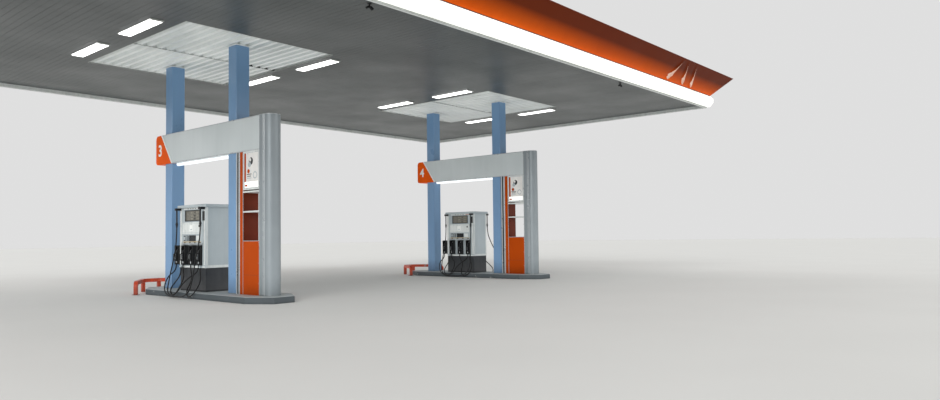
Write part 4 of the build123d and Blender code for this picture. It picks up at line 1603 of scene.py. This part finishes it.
    def noses(self) -> None:
        """Half-round noses rolled from one sheet each."""
        low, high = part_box("pylon_noses")
        shape = Shape("rolled_noses", self.shop)
        radius = self.width / 2
        turns = [math.pi * i / self.nose_sides for i in range(self.nose_sides + 1)]
        for cx in ISLANDS.values():
            part = bmesh.new()
            around = [(cx + radius * math.cos(a), low.y + radius - radius * math.sin(a)) for a in turns]
            around += [(cx + way * radius, high.y) for way in WAYS]
            shape.skin(part, [[part.verts.new((x, y, z)) for x, y in around] for z in (low.z, high.z)],
                       smooth=self.nose_sides)
            shape.take(part, Finishes.NOSE_SILVER)
        shape.done("silver_paint", "pylon_noses")

    def posters(self) -> None:
        """Lit faces of the poster boxes with a plain design of shapes, framed in aluminium."""
        shape = Shape("poster_faces", self.shop)
        y0, y1 = self.shell_y + self.box_rim, self.jamb_y - self.box_rim
        z0, z1 = self.box_z + self.box_rim, self.header_z - self.box_rim
        mid_y, mid_z, wide = (y0 + y1) / 2, (z0 + z1) / 2, self.box_frame
        back, side = -self.box_recess, wide + 0.002
        art, layer = back + 0.0042, self.layer_t
        for _, _, face in lane_faces(self.width / 2):
            shape.block((back + CLEAR, y0 + 0.002, z0 + 0.002), (back + 0.004, y1 - 0.002, z1 - 0.002),
                        Finishes.LIT_BOX, place=face)
            for a, b in four_bars((y0 + wide, z0 + wide), (y1 - wide, z1 - wide), (wide, wide)):
                shape.block((back + CLEAR, *a), (back + 0.011, *b), Finishes.ALUMINIUM, 0.0015, face)
            shape.block((art, y0 + side, z0 + 0.15), (art + layer, y1 - side, z1 - side),
                        Finishes.POSTER_GROUND, place=face)
            shape.block((art + layer, y1 - 0.075, z0 + 0.15), (art + 2 * layer, y1 - side, z1 - side),
                        Finishes.ORANGE, place=face)
            shape.block((art, y1 - 0.13, z0 + 0.045), (art + 0.001, y1 - 0.03, z0 + 0.085), Finishes.ORANGE,
                        place=face)
            for dy, dz, radius, tone, level in self.discs:
                shape.rod((art + layer * level, mid_y + dy, mid_z + dz),
                          (art + layer * (level + 1), mid_y + dy, mid_z + dz), radius, tone, face, sides=28)
            for k, (length, tone) in enumerate(self.bars):
                y, z = mid_y + 0.09, mid_z - 0.10 - 0.045 * k
                shape.block((art + layer, y - length / 2, z), (art + 0.0014, y + length / 2, z + 0.018), tone,
                            place=face)
        shape.done("light_box")

    def niche_linings(self) -> None:
        """Painted shade: thin deep orange sheets up both side walls of each niche, between its shelves."""
        shape = Shape("niche_linings", self.shop)
        levels = (self.niche_z - self.shelf_t, *self.shelves, self.box_z)
        half = self.width / 2 - 0.003
        for cx in ISLANDS.values():
            for low_z, high_z in zip(levels, levels[1:]):
                if high_z - low_z < 2 * self.shelf_t:
                    continue
                for y0, y1 in ((self.shell_y - 0.0002, self.shell_y + self.lining_t),
                               (self.jamb_y - self.lining_t, self.jamb_y + 0.0002)):
                    shape.block((cx - half, ISLAND_Y + y0, low_z + self.shelf_t + 0.002),
                                (cx + half, ISLAND_Y + y1, high_z - 0.004), Finishes.NICHE_LINING)
        shape.done("orange_paint")

    def niche_trims(self) -> None:
        """Pale shelf edges, upright edge beads of the niche, the lower panel's seam, and painted shade in the
        reveal.
        """
        shape = Shape("niche_edges", self.shop)
        y0, y1 = self.shell_y + 0.002, self.jamb_y - 0.002
        (seam_z0, seam_z1), (d0, d1), (a, b) = self.seam_z, self.reveal, self.reveal_y
        for _, _, face in lane_faces(self.width / 2):
            for z in self.shelves:
                shape.block((-0.012, y0, z - 0.003), (0.004, y1, z + self.shelf_t), Finishes.ENAMEL, 0.003,
                            face)
            shape.block((-0.012, y0, self.niche_z - 0.012), (0.003, y1, self.niche_z + 0.003),
                        Finishes.ALUMINIUM, 0.002, face)
            for y in (self.jamb_y, self.shell_y):
                shape.block((-0.004, y - 0.007, 0.158), (0.004, y + 0.007, self.header_z - 0.002),
                            Finishes.ALUMINIUM, 0.002, face)
            shape.block((0.0003, self.shell_y + 0.05, seam_z0), (0.0012, self.jamb_y - 0.05, seam_z1),
                        Finishes.SHADOW, place=face)
            # Painted shade: a dark block in the reveal of the trims
            shape.block((d0, self.trim_y + a, 0.150), (d1, self.trim_y + b, self.header_z - 0.001),
                        Finishes.SHADOW, place=face)
        shape.done("trim_metal")

    def build(self) -> None:
        """Dress both portals."""
        self.numerals()
        self.header_beads()
        self.noses()
        self.nose_trims()
        self.posters()
        self.niche_linings()
        self.niche_trims()


# Dispensers


@dataclass(frozen=True)
class Dispensers(Assembly):
    """Fittings on the dispensers' faces and ends. Y here is from the island's middle."""

    half: float = 0.350
    middle: float = -0.030
    half_l: float = 0.635
    base_z: float = 0.730
    top_z: float = 2.225
    display: tuple[float, float, float] = (0.732, 0.280, 2.025)
    reader: tuple[float, float, float] = (0.290, 0.115, 1.462)
    boots: tuple[float, ...] = (-0.417, -0.030, 0.357, 0.697)
    boot_w: float = 0.184
    boot_z: tuple[float, float] = (0.800, 1.285)
    boot_out: float = 0.045
    rim_out: Point = (-0.012, 0.006, 0.010)
    rim_side: Span = (0.021, 0.001)
    rim_in: float = 0.020
    rim_bevel: float = 0.004
    pad_out: Span = (-0.040, -0.034)
    pad_half: float = 0.045
    pad_in: Span = (0.040, 0.060)
    display_frame: Span = (0.024, 0.022)
    display_out: Span = (-0.0175, 0.008)
    glass_out: float = -0.006
    glass_in: float = 0.020
    figure: Span = (0.040, 0.0012)
    figure_in: float = 0.004
    reader_frame: Span = (0.018, 0.016)
    reader_out: Span = (-0.0115, -0.004)
    # Plates on a lane face: two corners as out, Y and Z, finish and bevel
    plates: tuple[tuple[Point, Point, Finishes, float], ...] = (
        ((0.0004, -0.470, 2.180), (0.0070, 0.410, 2.221), Finishes.ENAMEL, 0.002),
        ((0.0070, -0.440, 2.192), (0.0078, -0.300, 2.208), Finishes.ORANGE, 0.0),
        ((0.0004, -0.460, 1.570), (0.0100, 0.460, 1.858), Finishes.ENAMEL, 0.004),
        ((0.0100, -0.430, 1.600), (0.0112, 0.430, 1.606), Finishes.CABINET, 0.0),
        ((0.0100, -0.430, 1.822), (0.0112, 0.430, 1.828), Finishes.CABINET, 0.0),
        ((0.0100, -0.060, 1.640), (0.0125, 0.090, 1.790), Finishes.VINYL_WHITE, 0.001),
        ((0.0125, -0.030, 1.665), (0.0132, 0.060, 1.690), Finishes.CABINET, 0.0),
        ((0.0100, -0.400, 1.735), (0.0125, -0.345, 1.790), Finishes.INK, 0.001),
        ((0.0004, 0.170, 1.395), (0.0090, 0.400, 1.530), Finishes.BLACK_PLASTIC, 0.003),
        ((0.0090, 0.318, 1.420), (0.0130, 0.384, 1.506), Finishes.CABINET, 0.002),
        ((0.0004, -0.400, 1.405), (0.0080, -0.230, 1.525), Finishes.ENAMEL, 0.002),
        ((0.0004, -0.455, 1.366), (0.0040, 0.455, 1.378), Finishes.VINYL_YELLOW, 0.001),
        ((0.0004, -0.560, 1.316), (0.0300, 0.500, 1.336), Finishes.ALUMINIUM, 0.004))
    # Rows of four printed labels: the first one's two corners and the step along Y
    labels: tuple[tuple[Point, Point, float], ...] = (
        ((0.0070, -0.220, 2.193), (0.0078, -0.150, 2.207), 0.12),
        ((0.0004, -0.440, 1.340), (0.0040, -0.360, 1.360), 0.25))
    # Number windows of the display: half height, half width, drop of the first and step down
    window: tuple[float, float, float, float] = (0.027, 0.200, 0.064, 0.078)
    window_out: float = -0.0045
    window_shift: float = 0.10
    post_x: Span = (0.285, 0.338)
    post_z: Span = (0.075, -0.004)
    # Low and high Y of the white posts and of the white band's lengths on a lane face
    posts: tuple[Span, ...] = ((-0.653, -0.590), (0.505, 0.595))
    bands: tuple[Span, ...] = ((-0.653, -0.522), (-0.462, 0.432), (0.492, 0.593))
    band_z: Point = (0.004, 0.044, 0.068)
    enamel_t: Point = (0.004, 0.005, 0.006)
    enamel_back: Span = (0.0003, 0.0004)
    enamel_bevel: float = 0.002
    base_in: float = 0.015
    base_line_over: float = 0.004
    base_line_z: Span = (0.149, 0.190)
    base_seam: Span = (0.20, 0.725)
    base_seam_y: float = 0.300
    base_seam_half: float = 0.003
    base_seam_t: float = 0.0015

    def displays(self) -> None:
        """Main display in its recess: bezel, crystal panel, three number windows and figures."""
        shape = Shape("price_displays", self.shop)
        width, height, z = self.display
        y0, y1 = self.middle - width / 2, self.middle + width / 2
        z0, z1 = z - height / 2, z + height / 2
        half_h, half_w, drop, step = self.window
        (wide, tall), (back, front), inside = self.display_frame, self.display_out, self.glass_in
        for cx, way, face in lane_faces(self.half):
            for a, b in four_bars((y0 + wide, z0 + tall), (y1 - wide, z1 - tall), (wide, tall)):
                shape.block((back, *a), (front, *b), Finishes.BLACK_PLASTIC, 0.003, face)
            shape.block((back, y0 + inside, z0 + inside), (self.glass_out, y1 - inside, z1 - inside),
                        Finishes.DISPLAY_GLASS, place=face)
            for row, text in enumerate(("0.00", "00.00", "0000")):
                wy, wz = self.middle + way * self.window_shift, z1 - drop - step * row
                shape.block((self.glass_out, wy - half_w, wz - half_h),
                            (self.window_out, wy + half_w, wz + half_h), Finishes.CRYSTAL, 0.0004, face)
                place = reading_place(cx + way * (self.half - self.figure_in), way, ISLAND_Y + wy, wz)
                shape.words(text, *self.figure, Finishes.INK, place)
        shape.done("black_plastic")

    def panels(self) -> None:
        """Plates on the lane faces: label strip, pale band, small window, key pad and ledge."""
        shape = Shape("lane_face_plates", self.shop)
        width, height, z = self.reader
        low = (self.middle - width / 2, z - height / 2)
        high = (self.middle + width / 2, z + height / 2)
        back, front = self.reader_out
        for _, _, face in lane_faces(self.half):
            for one, other, finish, bevel in self.plates:
                shape.block(one, other, finish, bevel, face)
            for one, other, step in self.labels:
                for k in range(4):
                    moved = face @ Matrix.Translation((0, step * k, 0))
                    shape.block(one, other, Finishes.INK, place=moved)
            shape.block((back, *low), (front, *high), Finishes.SMOKED, place=face)
            for a, b in four_bars(low, high, self.reader_frame):
                shape.block((0.0004, *a), (0.008, *b), Finishes.BLACK_PLASTIC, 0.002, face)
            shape.repeat(self.blocks, Finishes.CABINET, face, start=(0.0115, 0.200, 1.418),
                         step_along=(0.0, 0.030, 0.0), count_along=4, step_across=(0.0, 0.0, 0.030),
                         count_across=4, size=(0.006, 0.021, 0.021))
        shape.done("pump_paint")

    def grilles(self) -> None:
        """Speaker slot near the upper corner of each lane face."""
        shape = Shape("speaker_grilles", self.shop)
        for _, _, face in lane_faces(self.half):
            shape.block((0.0004, -0.630, 1.890), (0.008, -0.520, 2.120), Finishes.BLACK_PLASTIC, 0.004, face)
            shape.repeat(self.blocks, Finishes.INK, face, start=(0.010, -0.575, 1.915),
                         step_along=(0.0, 0.0, 0.020), count_along=10, size=(0.006, 0.086, 0.008))
        shape.done("black_plastic")

    def cladding(self) -> None:
        """White corner posts and the white band round the foot of the cabinet."""
        shape = Shape("cabinet_cladding", self.shop)
        y0, y1 = self.middle - self.half_l, self.middle + self.half_l
        inner, outer = self.post_x
        post_z0, post_z1 = self.base_z + self.post_z[0], self.top_z + self.post_z[1]
        band_z0, face_z1, end_z1 = (self.base_z + z for z in self.band_z)
        (thin, middling, thick), (face_back, end_back) = self.enamel_t, self.enamel_back
        for cx in ISLANDS.values():
            for y, turn in ((y0, -1), (y1, 1)):
                place = Matrix.Translation((cx, ISLAND_Y + y, 0)) @ Matrix.Diagonal((1, turn, 1, 1))
                for x0, x1, t, z0, z1 in ((-inner, -outer, middling, post_z0, post_z1),
                                          (inner, outer, middling, post_z0, post_z1),
                                          (-outer, outer, thick, band_z0, end_z1)):
                    shape.block((x0, end_back, z0), (x1, t, z1), Finishes.ENAMEL, self.enamel_bevel, place)
        for _, _, face in lane_faces(self.half):
            for spans, t, z0, z1 in ((self.posts, thin, post_z0, post_z1),
                                     (self.bands, thick, band_z0, face_z1)):
                for a, b in spans:
                    shape.block((face_back, a, z0), (t, b, z1), Finishes.ENAMEL, self.enamel_bevel, face)
        shape.done("pump_paint")

    def base_trims(self) -> None:
        """Painted shade in the shadow line at the foot of the base, and the joints of its cover plates."""
        shape = Shape("base_cover_joints", self.shop)
        foot, half_l = self.half - self.base_in, self.half_l - self.base_in
        over, (line_z0, line_z1), (z0, z1) = self.base_line_over, self.base_line_z, self.base_seam
        for cx in ISLANDS.values():
            y = ISLAND_Y + self.middle
            # Painted shade along the foot of the base
            shape.block((cx - foot - over, y - half_l - over, line_z0),
                        (cx + foot + over, y + half_l + over, line_z1), Finishes.SHADOW, 0.002)
        for _, _, face in lane_faces(foot):
            for y in (self.middle - self.base_seam_y, self.middle + self.base_seam_y):
                shape.block((0.0, y - self.base_seam_half, z0),
                            (self.base_seam_t, y + self.base_seam_half, z1), Finishes.SHADOW, place=face)
        shape.done("plinth_paint")

    def boot_rims(self) -> None:
        """Rounded rims of the nozzle boots and the pads inside them."""
        shape = Shape("boot_rims", self.shop)
        w, (z0, z1) = self.boot_w / 2, self.boot_z
        back, front, lip = (self.boot_out + out for out in self.rim_out)
        (inside, over), (pad_back, pad_front), (pad_low, pad_high) = self.rim_side, self.pad_out, self.pad_in
        lip_y = w - self.rim_in
        for _, _, face in lane_faces(self.half):
            for y in self.boots:
                for side in WAYS:
                    shape.block((back, y + side * (w - inside), z0), (front, y + side * (w + over), z1),
                                Finishes.BLACK_PLASTIC, self.rim_bevel, face)
                shape.block((back, y - lip_y, z1 - inside), (lip, y + lip_y, z1 + over),
                            Finishes.BLACK_PLASTIC, self.rim_bevel, face)
                shape.block((pad_back, y - self.pad_half, z0 + pad_low),
                            (pad_front, y + self.pad_half, z1 - pad_high), Finishes.NOZZLE_GREY, 0.002, face)
        shape.done("black_plastic")

    def build(self) -> None:
        """Dress both dispensers."""
        self.displays()
        self.panels()
        self.grilles()
        self.cladding()
        self.base_trims()
        self.boot_rims()


@dataclass(frozen=True)
class Nozzles(Assembly):
    """Nozzles in their boots, with the swivels and couplings of their hoses."""

    half: float = 0.350
    hose_d: float = 0.045
    foot_z: float = 0.880
    hose_end_z: float = 0.840
    body_t: float = 0.044
    places: tuple[float, ...] = (-0.417, -0.030, 0.357, 0.697)
    pipe_d: float = 0.110
    pipe_z: float = 1.870
    pipes: tuple[float, ...] = (-0.615, 0.555)
    outlets: tuple[float, ...] = (-0.492, 0.462)
    outlet_z: float = 0.735
    sleeve_l: float = 0.060

    def nozzle(self, shape: Shape, cx: float, way: int, y: float) -> None:
        """One nozzle: body, hand guard, lever, spout, its ring and the swivel below.

        Args:
            shape: the piece that takes it.
            cx: X of the island.
            way: the lane face.
            y: Y of the boot from the island's middle.
        """
        upright = Matrix(((way, 0, 0, cx + way * (self.half + self.hose_d)), (0, 0, 1, ISLAND_Y + y),
                          (0, 1, 0, self.foot_z), (0, 0, 0, 1)))
        t = self.body_t / 2
        body = [(-0.018, 0.0), (0.016, 0.0), (0.024, 0.040), (0.020, 0.120), (0.022, 0.200), (0.014, 0.240),
                (0.002, 0.280), (-0.050, 0.320), (-0.064, 0.302), (-0.030, 0.250), (-0.020, 0.150)]
        shape.prism(body, -t, t, Finishes.NOZZLE_GREY, upright, bevel=0.006)
        guard = [(0.016, 0.006), (0.070, 0.036), (0.081, 0.060), (0.082, 0.184), (0.020, 0.222),
                 (0.018, 0.206), (0.068, 0.174), (0.068, 0.062), (0.060, 0.048), (0.018, 0.026)]
        shape.prism(guard, -0.7 * t, 0.7 * t, Finishes.BLACK_PLASTIC, upright, bevel=0.003)
        lever = [(0.022, 0.060), (0.048, 0.075), (0.052, 0.160), (0.030, 0.188), (0.024, 0.180),
                 (0.042, 0.154), (0.040, 0.082), (0.020, 0.068)]
        shape.prism(lever, -0.4 * t, 0.4 * t, Finishes.ALUMINIUM, upright, bevel=0.001)
        for start, end, radius, last, finish in (
                ((-0.040, 0.304, 0.0), (-0.080, 0.364, 0.0), 0.014, 0.012, Finishes.ALUMINIUM),
                ((-0.036, 0.298, 0.0), (-0.050, 0.319, 0.0), 0.023, 0.020, Finishes.BLACK_PLASTIC)):
            shape.rod(start, end, radius, finish, upright, last)
        swivel = [(0.0175, 0.0), (0.0178, 0.008), (0.0155, 0.010), (0.0155, 0.016), (0.0178, 0.018),
                  (0.0178, 0.030), (0.016, 0.040)]
        foot = Matrix.Translation((cx + way * (self.half + self.hose_d), ISLAND_Y + y, self.hose_end_z))
        shape.lathe(swivel, Finishes.ALUMINIUM, foot, 14)

    def nozzles(self) -> None:
        """All sixteen nozzles."""
        shape = Shape("fuel_nozzles", self.shop)
        for cx, way, _ in lane_faces(self.half):
            for y in self.places:
                self.nozzle(shape, cx, way, y)
        shape.done("nozzle", "nozzles")

    def reliefs(self) -> None:
        """Tapered sleeves where a hose leaves its pipe, its outlet block or its nozzle."""
        shape = Shape("hose_sleeves", self.shop)
        sleeve = [(0.0160, 0.0), (0.0165, 0.020), (0.0195, 0.052), (0.0220, 0.056), (0.0220, 0.0598)]
        coupling = [(0.0160, -0.130), (0.0210, -0.120), (0.0235, -0.080), (0.0300, -0.072), (0.0300, -0.030),
                    (0.0240, -0.022), (0.0240, -0.0005)]
        for cx, way, _ in lane_faces(self.half):
            for profile, places, out, z, sides in (
                    (sleeve, self.places, self.hose_d, self.hose_end_z - self.sleeve_l, 14),
                    (sleeve, self.outlets, self.hose_d, self.outlet_z - self.sleeve_l, 14),
                    (coupling, self.pipes, self.pipe_d, self.pipe_z, 18)):
                for y in places:
                    foot = Matrix.Translation((cx + way * (self.half + out), ISLAND_Y + y, z))
                    shape.lathe(profile, Finishes.BLACK_PLASTIC, foot, sides)
        shape.done("black_plastic")

    def build(self) -> None:
        """Make the nozzles and sleeves."""
        self.nozzles()
        self.reliefs()


@dataclass(frozen=True)
class Islands(Assembly):
    """Small fittings at ground level: foot collars of the columns and feet of the guard rails."""

    kerb_top: float = 0.148
    collar: float = 0.19
    collar_t: float = 0.010
    foot_x: float = 0.845
    foot_y: float = 0.405
    foot: float = 0.075
    foot_t: float = 0.008
    bolt_pitch: float = 0.116
    bolt: Point = (0.018, 0.018, 0.010)

    def build(self) -> None:
        """Foot collars of the columns, and the plates and bolts under the guard rails."""
        shape = Shape("foot_plates", self.shop)
        wide, foot, pitch = self.collar, self.foot, self.bolt_pitch
        for cx in ISLANDS.values():
            for way in WAYS:
                y = ISLAND_Y + way * COLUMN_REACH
                shape.block((cx - wide, y - wide, self.kerb_top + CLEAR),
                            (cx + wide, y + wide, self.kerb_top + self.collar_t), Finishes.GALVANISED, 0.002)
            for way in WAYS:
                x, y = cx + way * self.foot_x, ISLAND_Y + COLUMN_REACH + self.foot_y
                shape.block((x - foot, y - foot, 0.0), (x + foot, y + foot, self.foot_t),
                            Finishes.RAIL_ORANGE, 0.002)
                shape.repeat(self.rounds, Finishes.GALVANISED,
                             start=(x - pitch / 2, y - pitch / 2, self.foot_t + self.bolt[2] / 2),
                             step_along=(0.0, pitch, 0.0), count_along=2, step_across=(pitch, 0.0, 0.0),
                             count_across=2, size=self.bolt, sides=6)
        shape.done("rail_paint")


# Finishes of the CAD nodes that stay in view
CAD_FINISHES: dict[str, Finishes] = {
    # The edge beam takes the whiter enamel as painted light from the lamps on its inner face
    "edge_beam": Finishes.ENAMEL,
    "main_beams": Finishes.GALVANISED,
    "cross_beams": Finishes.GALVANISED,
    "ceiling_deck": Finishes.CEILING_SHEET,
    "roof_deck": Finishes.ROOF_SHEET,
    "front_spots": Finishes.BLACK_PLASTIC,
    "light_strips": Finishes.STRIP,
    "fascia_cap": Finishes.FLARE_ORANGE,
    "fascia_brackets": Finishes.GALVANISED,
    "columns": Finishes.COLUMN_BLUE,
    "kerbs": Finishes.KERB_PAINT,
    "headers": Finishes.SILVER,
    "header_ends": Finishes.END_ORANGE,
    "header_tubes": Finishes.TUBE,
    "pylon_frames": Finishes.ORANGE,
    "pylon_trims": Finishes.ALUMINIUM,
    "light_boxes": Finishes.ENAMEL,
    "niche_shelves": Finishes.ENAMEL,
    "guard_rails": Finishes.RAIL_ORANGE,
    "dispenser_bases": Finishes.BASE_GREY,
    "dispensers": Finishes.CABINET,
    "dispenser_hoods": Finishes.CABINET,
    "hose_arms": Finishes.BLACK_PLASTIC,
    "nozzle_boots": Finishes.BLACK_PLASTIC,
}


def dress_nodes(nodes: dict[str, bpy.types.Object], shop: Workshop) -> None:
    """Give each CAD node that stays in view its finish.

    Args:
        nodes: the frame's nodes by name.
        shop: where the finishes come from.
    """
    for name, finish in CAD_FINISHES.items():
        node = nodes[name]
        if not node.material_slots:
            node.data.materials.append(shop[finish])
        for slot in node.material_slots:
            slot.material = shop[finish]
    log.info("finished %d nodes of the frame", len(CAD_FINISHES))


def main() -> None:
    """Build the scene: camera and hoses first, then the roof, the portals and the dispensers."""
    logging.basicConfig(level=logging.INFO, format="%(name)s: %(message)s")
    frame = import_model()
    Viewpoint().place()
    Studio().build()
    shop = Workshop()
    kit = (shop, *(Rows(unit) for unit in Unit))
    Hoses(*kit).build()
    dress_nodes(frame["nodes"], shop)
    for assembly in (Ceiling, RoofEdge, RoofTop, Portals, Dispensers, Nozzles, Islands):
        assembly(*kit).build()
    log.info("canopy dressed")


if __name__ == "__main__":
    main()
